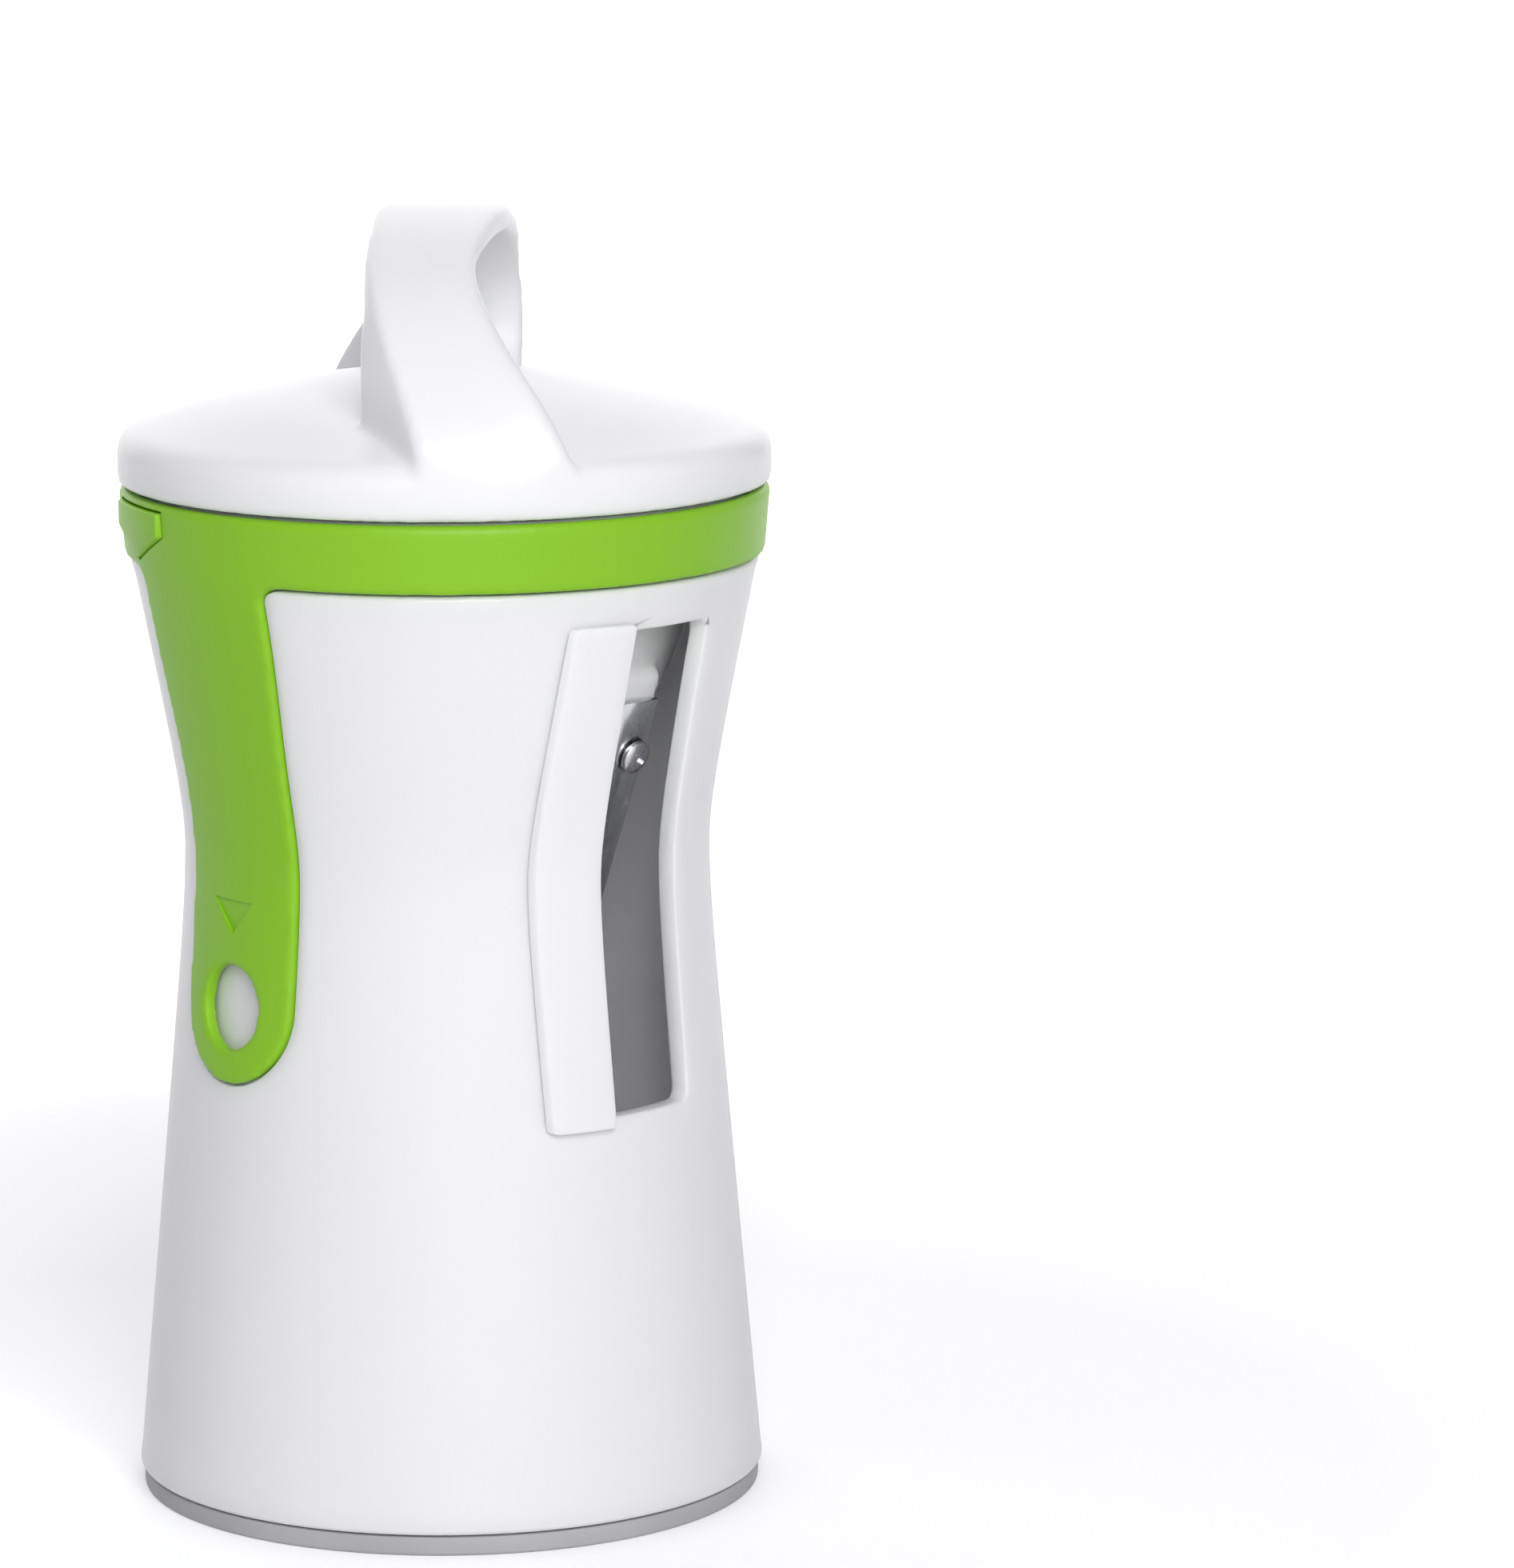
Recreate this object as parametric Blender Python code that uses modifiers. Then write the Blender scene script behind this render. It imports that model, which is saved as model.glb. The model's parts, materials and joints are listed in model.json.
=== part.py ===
# Hand-turned vegetable spiralizer: a white hourglass body with a green grip collar,
# a cutting cone with a blade and a julienne comb inside, and a cap with a twisted handle.
# Metres, +Z up. The origin is the middle of the footprint, on the surface it stands on.
# Azimuths are in degrees from the front (-Y) towards the right (+X).

from math import atan, cos, hypot, pi, radians, sin

import bmesh
import bpy
from mathutils import Matrix, Vector

mm = 0.001
steps = 60
small_steps = 12

# Clearances, and how far a cutter runs past what it cuts
gap = 0.3 * mm
drop_in_gap = 0.4 * mm
past = 6.0 * mm

# Body shell
waist_radius = 33.35 * mm
waist_height = 83.0 * mm
body_foot_radius = 40.0 * mm
shoulder_radius = 39.6 * mm
body_bottom = 2.7 * mm
body_top = 120.2 * mm
lower_bend = 8.0 * mm
upper_bend = 7.0 * mm
body_wall = 2.6 * mm
body_rim_round = 0.6 * mm

# Foot ring
foot_inset = 0.5 * mm
foot_width = 5.0 * mm
foot_edge_round = 0.4 * mm
foot_tongue_height = 4.0 * mm
foot_tongue_width = 1.6 * mm

# Window that the strands leave by, and the guard strip at its left edge
window_azimuth = 54.0
window_left = -14.5 * mm
window_right = 2.4 * mm
window_height = 61.4 * mm
window_below_top = 5.6 * mm
window_corner = 1.6 * mm
guard_beside = 5.9 * mm
guard_width = 8.0 * mm
guard_overrun = 1.1 * mm
guard_thickness = 1.2 * mm
guard_corner = 0.5 * mm

# Grip collar
collar_height = 8.7 * mm
collar_flare = 1.4 * mm
collar_proud = 0.7 * mm
collar_lip_round = 0.9 * mm
mouth_wall = 2.0 * mm
mouth_depth = 2.9 * mm
throat_step = 5.0 * mm
throat_drop = 1.0 * mm
skirt_depth = 5.5 * mm
ledge_thickness = 1.6 * mm
ledge_width = 1.4 * mm

# Arm of the collar
arm_azimuth = -51.8
arm_half_width = 10.3 * mm
arm_length = 64.1 * mm
arm_root = 1.2 * mm
arm_recess = 1.5 * mm
arm_fillet = 2.4 * mm
arm_left_flare = 2.2 * mm
arm_right_flare = 1.2 * mm
arm_flare_length = 28.5 * mm
hang_hole_radius = 5.3 * mm
hang_hole_from_tip = 9.6 * mm
mark_width = 7.8 * mm
mark_height = 4.4 * mm
mark_above_hole = 13.6 * mm
mark_depth = 0.35 * mm

# Shield-shaped grips on the collar, and the key slots behind them
lug_azimuths = (-70.0, 110.0)
lug_proud = 0.5 * mm
lug_taper = 0.9 * mm
lug_root = 1.4 * mm
lug_width = 15.0 * mm
lug_drop = 1.2 * mm
lug_side_height = 3.0 * mm
lug_height = 6.4 * mm
key_width = 6.0 * mm
key_reach = 1.2 * mm

# Cutting cone
cone_rim_width = 3.0 * mm
cone_wall = 1.8 * mm
cone_depth = 61.6 * mm
core_radius = 8.0 * mm
core_tube_length = 5.0 * mm
flange_thickness = 1.7 * mm

# Slot, blade and comb, along the cone's side
slot_azimuth = 45.0
slot_above_bottom = 27.0 * mm
slot_low = -24.0 * mm
slot_high = 22.0 * mm
slot_left = -3.2 * mm
slot_right = 3.8 * mm
pad_margin = 3.0 * mm
blade_pad_left = -10.4 * mm
blade_pad_height = 3.4 * mm
comb_pad_right = 9.8 * mm
comb_pad_height = 2.0 * mm
pad_root = 7.0 * mm
blade_tilt = 15.0
blade_width = 9.4 * mm
blade_thickness = 0.7 * mm
blade_bevel = 1.8 * mm
blade_edge_depth = 0.5 * mm
comb_thickness = 0.6 * mm
comb_flange_width = 6.2 * mm
tooth_pitch = 4.5 * mm
tooth_width = 1.8 * mm
tooth_tip = 0.9 * mm
tooth_reach = 2.2 * mm
tooth_root = 0.6 * mm

# Blade screws
screw_spacing = 28.0 * mm
screw_from_edge = 6.5 * mm
screw_head_radius = 2.2 * mm
screw_head_height = 1.0 * mm
screw_shank_radius = 1.15 * mm
screw_bite = 1.7 * mm
screw_hole_depth = 5.0 * mm

# Cap
cap_overhang = 0.2 * mm
cap_side_height = 4.4 * mm
cap_edge_width = 6.2 * mm
cap_edge_height = 3.9 * mm
dome_rise = 5.6 * mm
cap_wall = 2.6 * mm
cap_rim_width = 6.8 * mm
handle_height = 34.6 * mm
handle_inset = 2.0 * mm
handle_foot_width = 19.8 * mm
handle_edge_round = 0.9 * mm
boss_radius = 3.2 * mm

# Seat ring and spike plate under the cap
seat_ring_width = 3.7 * mm
seat_ring_height = 2.4 * mm
plate_flange_width = 1.8 * mm
plate_flange_height = 0.8 * mm

# Spikes and the screws that hold the plate
spike_count = 6
spike_circle = 11.0 * mm
spike_radius = 1.1 * mm
spike_length = 11.0 * mm
centre_spike_length = 14.0 * mm
spike_straight_share = 0.55
spike_head_radius = 2.0 * mm
spike_head_height = 0.9 * mm
plate_screw_count = 3
plate_screw_circle = 25.0 * mm
plate_screw_head_radius = 2.5 * mm
plate_screw_head_height = 1.1 * mm
plate_screw_shank_radius = 1.2 * mm
plate_screw_length = 6.0 * mm

# Heights and radii that follow from the sizes above
window_top = body_top - window_below_top
window_bottom = window_top - window_height
guard_left = window_left - guard_beside
collar_bottom = body_top + gap
collar_top = collar_bottom + collar_height
collar_radius = shoulder_radius + collar_flare
mouth_radius = collar_radius - mouth_wall
throat_radius = mouth_radius - throat_step
throat_top = collar_bottom - throat_drop
skirt_bottom = collar_bottom - skirt_depth
ledge_top = skirt_bottom + ledge_thickness
ledge_radius = throat_radius - ledge_width
arm_tip = collar_bottom - arm_length
arm_flare_start = collar_bottom - arm_flare_length
hang_hole_height = arm_tip + hang_hole_from_tip
mark_top = hang_hole_height + mark_above_hole
lug_radius = collar_radius + lug_proud
lug_top = collar_top - lug_drop
lug_shoulder = lug_top - lug_side_height
lug_point = lug_top - lug_height
flange_radius = throat_radius - drop_in_gap
flange_bottom = ledge_top + gap
cone_top = flange_bottom + flange_thickness
cone_top_radius = throat_radius - cone_rim_width
cone_bottom = cone_top - cone_depth
cone_slope = (cone_top_radius - core_radius) / cone_depth
slot_middle = cone_bottom + slot_above_bottom
cap_bottom = collar_top + gap
cap_radius = collar_radius + cap_overhang
foot_height = body_bottom - gap
seat_ring_radius = mouth_radius - drop_in_gap
seat_ring_top = cap_bottom - gap
seat_ring_bottom = seat_ring_top - seat_ring_height
plate_radius = seat_ring_radius - seat_ring_width
plate_top = seat_ring_top
plate_bottom = seat_ring_bottom
plate_flange_top = plate_bottom + plate_flange_height
cut_from = waist_radius / 2
cut_to = cap_radius + past


def clear_scene():
    for item in list(bpy.data.objects):
        bpy.data.objects.remove(item, do_unlink=True)


clear_scene()
part_collection = bpy.data.collections.new("spiralizer")
cutter_collection = bpy.data.collections.new("cutters")
bpy.context.scene.collection.children.link(part_collection)
bpy.context.scene.collection.children.link(cutter_collection)


def make_material(name, colour, roughness, metallic=0.0):
    material = bpy.data.materials.new(name)
    material.use_nodes = True
    shader = material.node_tree.nodes["Principled BSDF"]
    shader.inputs["Base Color"].default_value = (*colour, 1.0)
    shader.inputs["Roughness"].default_value = roughness
    shader.inputs["Metallic"].default_value = metallic
    return material


white_plastic = make_material("white_plastic", (0.86, 0.87, 0.90), 0.28)
ring_plastic = make_material("ring_plastic", (0.78, 0.79, 0.81), 0.35)
green_grip = make_material("green_grip", (0.24, 0.50, 0.03), 0.45)
grey_rubber = make_material("grey_rubber", (0.42, 0.42, 0.43), 0.75)
blade_steel = make_material("blade_steel", (0.62, 0.63, 0.65), 0.25, 1.0)
screw_steel = make_material("screw_steel", (0.55, 0.55, 0.57), 0.35, 1.0)


def place(mesh, name, material=None, cutter=False):
    item = bpy.data.objects.new(name, mesh)
    if cutter:
        cutter_collection.objects.link(item)
        item.hide_render = True
        item.display_type = "WIRE"
    else:
        part_collection.objects.link(item)
        mesh.materials.append(material)
    return item


def turned(name, outline, material=None, cutter=False, closed=True, turns=steps):
    # Turns an outline of (radius, height) points, which runs down its outer side, about Z
    mesh = bpy.data.meshes.new(name)
    count = len(outline)
    edges = [(i, i + 1) for i in range(count - 1)]
    if closed:
        edges.append((count - 1, 0))
    mesh.from_pydata([(radius, 0.0, height) for radius, height in outline], edges, [])
    item = place(mesh, name, material, cutter)
    screw = item.modifiers.new("turn", "SCREW")
    screw.axis = "Z"
    screw.angle = 2 * pi
    screw.steps = turns
    screw.render_steps = turns
    screw.use_merge_vertices = True
    screw.merge_threshold = 0.00001
    screw.use_smooth_shade = True
    return item


def slab(name, outline, low, high, frame, material=None, cutter=False):
    # Extrudes a flat outline, drawn in the frame's X and Y, along the frame's Z from low to high
    curve = bpy.data.curves.new(name, "CURVE")
    curve.dimensions = "2D"
    curve.fill_mode = "BOTH"
    curve.extrude = (high - low) / 2
    spline = curve.splines.new("POLY")
    spline.points.add(len(outline) - 1)
    for point, (x, y) in zip(spline.points, outline):
        point.co = (x, y, 0.0, 1.0)
    spline.use_cyclic_u = True
    shape = bpy.data.objects.new(name + "_curve", curve)
    cutter_collection.objects.link(shape)
    shape.matrix_world = frame @ Matrix.Translation((0, 0, (low + high) / 2))
    bpy.context.view_layer.update()
    evaluated = shape.evaluated_get(bpy.context.evaluated_depsgraph_get())
    mesh = bpy.data.meshes.new_from_object(evaluated)
    mesh.transform(shape.matrix_world)
    bpy.data.objects.remove(shape, do_unlink=True)
    weld(mesh)
    return place(mesh, name, material, cutter)


def weld(mesh):
    work = bmesh.new()
    work.from_mesh(mesh)
    bmesh.ops.remove_doubles(work, verts=work.verts, dist=0.000001)
    bmesh.ops.recalc_face_normals(work, faces=work.faces)
    work.to_mesh(mesh)
    work.free()


def solid(name, build, frame):
    # Makes a cutter or blank of a bmesh primitive, with its points moved into a frame
    work = bmesh.new()
    build(work)
    bmesh.ops.transform(work, matrix=frame, verts=work.verts)
    mesh = bpy.data.meshes.new(name)
    work.to_mesh(mesh)
    work.free()
    return place(mesh, name, cutter=True)


def block(name, across_span, up_span, out_span, frame):
    # A box between two limits along each axis of the frame
    spans = (across_span, up_span, out_span)
    middle = Matrix.Translation([(low + high) / 2 for low, high in spans])
    size = Matrix.Diagonal([high - low for low, high in spans] + [1.0])
    return solid(name, lambda work: bmesh.ops.create_cube(work, size=1.0, matrix=middle @ size),
                 frame)


def rod(name, radius, low, high, frame, sides=small_steps):
    # A round bar along the frame's Z, from low to high. Its corners are turned a little,
    # away from the straight edges of what it cuts.
    middle = Matrix.Translation((0, 0, (low + high) / 2)) @ Matrix.Rotation(radians(7), 4, "Z")
    return solid(name, lambda work: bmesh.ops.create_cone(
        work, cap_ends=True, segments=sides, radius1=radius, radius2=radius,
        depth=high - low, matrix=middle), frame)


def rounded_rectangle(left, right, bottom, top, corner, points=4):
    # Runs anticlockwise from the lower right corner
    outline = []
    centres = ((right - corner, bottom + corner, -90), (right - corner, top - corner, 0),
               (left + corner, top - corner, 90), (left + corner, bottom + corner, 180))
    for x, y, start in centres:
        outline += arc(x, y, corner, start, start + 90, points)
    return outline


def arc(x, y, radius, start, end, points):
    angles = [radians(start + (end - start) * i / points) for i in range(points + 1)]
    return [(x + radius * cos(a), y + radius * sin(a)) for a in angles]


def combine(item, other, operation, name):
    modifier = item.modifiers.new(name, "BOOLEAN")
    modifier.operation = operation
    modifier.object = other
    modifier.solver = "EXACT"


def cut(item, other):
    combine(item, other, "DIFFERENCE", "cut_" + other.name)


def add(item, other):
    combine(item, other, "UNION", "add_" + other.name)


def keep_inside(item, other):
    combine(item, other, "INTERSECT", "keep_" + other.name)


def flatten_caps(item):
    # Joins the thin triangles of a turned flat face into one face, which cuts more cleanly
    flat = item.modifiers.new("flat_caps", "DECIMATE")
    flat.decimate_type = "DISSOLVE"
    flat.angle_limit = radians(0.05)


def outward(azimuth):
    return Vector((sin(radians(azimuth)), -cos(radians(azimuth)), 0.0))


def across(azimuth):
    return Vector((cos(radians(azimuth)), sin(radians(azimuth)), 0.0))


def frame_of(x_axis, y_axis, z_axis, origin=Vector((0, 0, 0))):
    frame = Matrix((x_axis, y_axis, z_axis)).transposed().to_4x4()
    frame.translation = origin
    return frame


def side_frame(azimuth):
    # X runs across, Y runs up and Z runs outward at this azimuth
    return frame_of(across(azimuth), Vector((0, 0, 1)), outward(azimuth))


def at_azimuth(azimuth, radius, height):
    return outward(azimuth) * radius + Vector((0, 0, height))


# Outline of the hourglass
def bend(distance, reach, softness):
    return (hypot(distance, softness) - softness) / (hypot(reach, softness) - softness)


def body_radius(height):
    if height < waist_height:
        share = bend(waist_height - height, waist_height - body_bottom, lower_bend)
        return waist_radius + (body_foot_radius - waist_radius) * share
    share = bend(height - waist_height, body_top - waist_height, upper_bend)
    return waist_radius + (shoulder_radius - waist_radius) * share


def heights_down(top, bottom, count):
    # Heights from top to bottom, closer together near the waist
    def spread(share):
        return abs(share) ** 1.5 * (1 if share > 0 else -1)

    upper = max(top - waist_height, 0.0)
    lower = max(waist_height - bottom, 0.0)
    shares = [1 - i / count for i in range(2 * count + 1)]
    return [waist_height + spread(s) * (upper if s > 0 else lower) for s in shares]


def skin(top, bottom, outer_offset, inner_offset, count):
    # Closed outline between two surfaces that follow the hourglass
    heights = heights_down(top, bottom, count)
    outer = [(body_radius(z) + outer_offset, z) for z in heights]
    inner = [(body_radius(z) + inner_offset, z) for z in reversed(heights)]
    return outer + inner


# Body shell
def make_body_shell():
    heights = heights_down(body_top - body_rim_round, body_bottom + body_rim_round, 7)
    top_edge = arc(body_radius(body_top) - body_rim_round, body_top - body_rim_round,
                   body_rim_round, 90, 45, 1)
    outer = [(body_radius(z), z) for z in heights]
    bottom_edge = arc(body_foot_radius - body_rim_round, body_bottom + body_rim_round,
                      body_rim_round, -45, -90, 1)
    inner_heights = heights_down(body_top, body_bottom, 4)
    inner = [(body_radius(z) - body_wall, z) for z in reversed(inner_heights)]
    shell = turned("body_shell", top_edge + outer + bottom_edge + inner, white_plastic)

    window = rounded_rectangle(window_left, window_right, window_bottom, window_top, window_corner)
    opening = slab("window_cutter", window, cut_from, cut_to, side_frame(window_azimuth),
                   cutter=True)
    cut(shell, opening)

    recess = turned("recess_cutter", skin(body_top + past, arm_tip - past, past, -arm_recess, 9),
                    cutter=True)
    recess_shape = slab("recess_shape", arm_outline(gap, body_top + past / 2), cut_from, cut_to,
                        side_frame(arm_azimuth), cutter=True)
    keep_inside(recess, recess_shape)
    cut(shell, recess)


# Guard strip beside the window
def make_blade_guard():
    strip = turned("blade_guard", skin(window_top + past, window_bottom - past,
                                       gap + guard_thickness, gap, 9), white_plastic)
    outline = rounded_rectangle(guard_left, guard_left + guard_width,
                                window_bottom - guard_overrun, window_top + guard_overrun,
                                guard_corner, 2)
    shape = slab("guard_shape", outline, cut_from, cut_to, side_frame(window_azimuth),
                 cutter=True)
    keep_inside(strip, shape)


# Foot ring
def make_foot_ring():
    outer = body_foot_radius - foot_inset
    inner = outer - foot_width
    tongue_outer = body_radius(body_bottom + foot_tongue_height) - body_wall - gap
    tongue_inner = tongue_outer - foot_tongue_width
    tongue_top = body_bottom + foot_tongue_height
    outline = [(tongue_inner, tongue_top), (tongue_outer, tongue_top),
               (tongue_outer, foot_height), (outer, foot_height),
               (outer, foot_edge_round), (outer - foot_edge_round, 0.0),
               (inner, 0.0), (tongue_inner, foot_height)]
    turned("foot_ring", outline, grey_rubber)


# Grip collar with its arm
def arm_outline(margin, top):
    # Outline of the arm, across and up, grown by a margin on all sides
    half = arm_half_width + margin
    fillet = arm_fillet - margin
    outline = arc(0.0, arm_tip + arm_half_width, half, -180, 0, 12)
    outline += arm_side(half, half + arm_right_flare, fillet, top)
    outline += [(-x, y) for x, y in reversed(arm_side(half, half + arm_left_flare, fillet, top))]
    return outline


def arm_side(low, high, fillet, top):
    # One side of the arm, from where it starts to widen up to the collar
    edge = collar_bottom - arm_fillet
    side = []
    for i in range(6):
        share = i / 5
        ease = share * share * (3 - 2 * share)
        side.append((low + (high - low) * ease, arm_flare_start + (edge - arm_flare_start) * share))
    side += arc(high + fillet, edge, fillet, 180, 90, 4)[1:]
    side.append((high + fillet, top))
    return side


def make_grip_collar():
    bottom_radius = body_radius(collar_bottom) + collar_proud
    lip = collar_lip_round
    skirt_radius = body_radius(skirt_bottom) - body_wall - gap
    outline = arc(collar_radius - lip, collar_top - lip, lip, 90, 0, 3)
    outline += [(bottom_radius, collar_bottom), (skirt_radius, collar_bottom),
                (skirt_radius, skirt_bottom), (ledge_radius, skirt_bottom),
                (ledge_radius, ledge_top), (throat_radius, ledge_top),
                (throat_radius, throat_top), (mouth_radius, collar_top - mouth_depth)]
    outline += arc(mouth_radius + lip, collar_top - lip, lip, 180, 90, 3)
    collar = turned("grip_collar", outline, green_grip)

    arm = turned("arm_blank", skin(collar_bottom + arm_root, arm_tip - past, collar_proud,
                                   gap - arm_recess, 9), cutter=True)
    arm_shape = slab("arm_shape", arm_outline(0.0, collar_bottom + past / 2), cut_from, cut_to,
                     side_frame(arm_azimuth), cutter=True)
    keep_inside(arm, arm_shape)
    add(collar, arm)

    for index, azimuth in enumerate(lug_azimuths):
        half = lug_width / 2
        shield = [(half, lug_shoulder), (half, lug_top), (-half, lug_top),
                  (-half, lug_shoulder), (0.0, lug_point)]
        root = collar_radius - lug_root
        lug = turned(f"lug_blank_{index}",
                     [(root, lug_top + gap), (lug_radius, lug_top + gap),
                      (lug_radius, lug_shoulder), (lug_radius - lug_taper, lug_point - gap),
                      (root, lug_point - gap)], cutter=True)
        lug_shape = slab(f"lug_shape_{index}", shield, cut_from, cut_to, side_frame(azimuth),
                         cutter=True)
        keep_inside(lug, lug_shape)
        add(collar, lug)
        key_half = key_width / 2 + gap
        slot_reach = flange_radius + key_reach + gap
        slot_top = collar_top - mouth_depth
        key_slot = block(f"key_slot_{index}", (-key_half, key_half), (ledge_top, slot_top),
                         (ledge_radius, slot_reach), side_frame(azimuth))
        cut(collar, key_slot)

    hole_frame = side_frame(arm_azimuth) @ Matrix.Translation((0, hang_hole_height, 0))
    hole = rod("hang_hole", hang_hole_radius, cut_from, cut_to, hole_frame, 3 * small_steps)
    cut(collar, hole)
    mark = [(mark_width / 2, mark_top), (-mark_width / 2, mark_top), (0.0, mark_top - mark_height)]
    mark_bottom = body_radius(mark_top) + collar_proud - mark_depth
    mark_cutter = slab("mark_cutter", mark, mark_bottom, mark_bottom + past,
                       side_frame(arm_azimuth), cutter=True)
    cut(collar, mark_cutter)


# Cutting cone
def cone_radius(height):
    return core_radius + cone_slope * (height - cone_bottom)


lean = atan(cone_slope)
cone_wall_across = cone_wall / cos(lean)
generator = outward(slot_azimuth) * sin(lean) + Vector((0, 0, 1)) * cos(lean)
cone_normal = outward(slot_azimuth) * cos(lean) - Vector((0, 0, 1)) * sin(lean)
slot_origin = at_azimuth(slot_azimuth, cone_radius(slot_middle), slot_middle)
# In this frame X runs across the slot, Y up the cone's side and Z out of it
slot_frame = frame_of(across(slot_azimuth), generator, cone_normal, slot_origin)
tilt = Matrix.Rotation(radians(blade_tilt), 4, "Y")
blade_frame = slot_frame @ Matrix.Translation((0, 0, -blade_edge_depth)) @ tilt
# Lets a section drawn across and out of the cone's side be extruded down along it
quarter_turn = Matrix.Rotation(pi / 2, 4, "X")
comb_left = slot_right - gap - comb_thickness
comb_seat = comb_pad_height + gap


def make_cutting_cone():
    outline = [(0.0, cone_top), (flange_radius, cone_top), (flange_radius, flange_bottom),
               (cone_radius(flange_bottom) + cone_wall_across, flange_bottom),
               (core_radius + cone_wall_across, cone_bottom),
               (core_radius + cone_wall_across, cone_bottom - core_tube_length),
               (0.0, cone_bottom - core_tube_length)]
    cone = turned("cutting_cone", outline, white_plastic, closed=False)

    pad_low = slot_low - pad_margin
    pad_high = slot_high + pad_margin
    blade_pad = block("blade_pad", (blade_pad_left, slot_left + gap), (pad_low, pad_high),
                      (-pad_root, blade_pad_height), slot_frame)
    comb_pad = block("comb_pad", (slot_right - gap, comb_pad_right), (pad_low, pad_high),
                     (-pad_root, comb_pad_height), slot_frame)
    add(cone, blade_pad)
    add(cone, comb_pad)
    for index, azimuth in enumerate(lug_azimuths):
        key = block(f"key_{index}", (-key_width / 2, key_width / 2), (flange_bottom, cone_top),
                    (cone_top_radius, flange_radius + key_reach), side_frame(azimuth))
        add(cone, key)

    tube_bottom = cone_bottom - core_tube_length
    bore = turned("cone_bore", [(0.0, cone_top + past), (cone_top_radius, cone_top + past),
                                (cone_top_radius, cone_top), (core_radius, cone_bottom),
                                (core_radius, tube_bottom - past), (0.0, tube_bottom - past)],
                  cutter=True, closed=False)
    cut(cone, bore)
    slot = block("slot_cutter", (slot_left, slot_right), (slot_low, slot_high), (-past, past),
                 slot_frame)
    cut(cone, slot)
    seat = block("blade_seat", (2 * blade_pad_left, slot_right / 2),
                 (slot_low - gap, slot_high + gap), (-gap, past), blade_frame)
    cut(cone, seat)
    for index, holder in enumerate(screw_holders()):
        hole = rod(f"screw_hole_{index}", screw_shank_radius + gap, -screw_hole_depth, past, holder)
        cut(cone, hole)


def screw_holders():
    # Frames under the four screw heads: two on the blade, two on the comb
    holders = []
    for side in (-1, 1):
        along = side * screw_spacing / 2
        holders.append(blade_frame @ Matrix.Translation((-screw_from_edge, along, blade_thickness)))
    comb_screw = comb_left + comb_flange_width / 2 + screw_shank_radius
    for side in (-1, 1):
        along = side * screw_spacing / 2
        holders.append(slot_frame @ Matrix.Translation((comb_screw, along,
                                                        comb_seat + comb_thickness)))
    return holders


# Slicing blade, ground to an edge on one long side
def make_slicing_blade():
    section = [(-blade_width, 0.0), (0.0, 0.0), (-blade_bevel, blade_thickness),
               (-blade_width, blade_thickness)]
    blade = slab("slicing_blade", section, -slot_high, -slot_low, blade_frame @ quarter_turn,
                 blade_steel)
    for index, holder in enumerate(screw_holders()[:2]):
        hole = rod(f"blade_hole_{index}", screw_shank_radius + gap, -past, past, holder)
        cut(blade, hole)


# Julienne comb: an angle of sheet steel whose lower edge is cut into teeth
def make_julienne_comb():
    top = comb_seat + comb_thickness
    angle = [(comb_left, top), (comb_left, -tooth_reach), (comb_left + comb_thickness, -tooth_reach),
             (comb_left + comb_thickness, comb_seat), (comb_left + comb_flange_width, comb_seat),
             (comb_left + comb_flange_width, top)]
    low = slot_low + gap
    high = slot_high - gap
    comb = slab("julienne_comb", angle, -high, -low, slot_frame @ quarter_turn, blade_steel)

    # Everything below the teeth's roots, less the teeth: X runs up the cone's side and Y out of it
    tip = -tooth_reach - tooth_tip
    gullets = [(high + past, tooth_root), (high + past, tip - gap),
               (low - past, tip - gap), (low - past, tooth_root)]
    tooth = low + tooth_pitch / 2
    while tooth < high - tooth_width / 2:
        gullets += [(tooth - tooth_width / 2, tooth_root), (tooth - tooth_tip / 2, tip),
                    (tooth + tooth_tip / 2, tip), (tooth + tooth_width / 2, tooth_root)]
        tooth += tooth_pitch
    upright = slot_frame @ frame_of(Vector((0, 1, 0)), Vector((0, 0, 1)), Vector((1, 0, 0)))
    notches = slab("comb_notches", gullets, comb_left - gap, comb_left + comb_thickness + gap,
                   upright, cutter=True)
    cut(comb, notches)
    for index, holder in enumerate(screw_holders()[2:]):
        hole = rod(f"comb_hole_{index}", screw_shank_radius + gap, -past, past, holder)
        cut(comb, hole)


def screw_outline(head_radius, head_height, shank_radius, length):
    # Seen from the side, with the underside of the head at height zero
    return [(0.0, head_height), (head_radius * 0.7, head_height),
            (head_radius, head_height * 0.4), (head_radius, 0.0), (shank_radius, 0.0),
            (shank_radius, -length + shank_radius), (shank_radius * 0.4, -length),
            (0.0, -length)]


def make_blade_screws():
    for index, holder in enumerate(screw_holders()):
        length = blade_thickness + gap + screw_bite
        outline = screw_outline(screw_head_radius, screw_head_height, screw_shank_radius, length)
        screw = turned(f"blade_screw_{index + 1}", outline, screw_steel, closed=False,
                       turns=small_steps)
        screw.matrix_world = holder @ Matrix.Translation((0, 0, gap))


# Cap
def dome_height(radius):
    # Height of the domed top above the cap's underside
    reach = cap_radius - cap_edge_width
    return cap_side_height + cap_edge_height + dome_rise * (1 - (radius / reach) ** 2)


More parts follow.
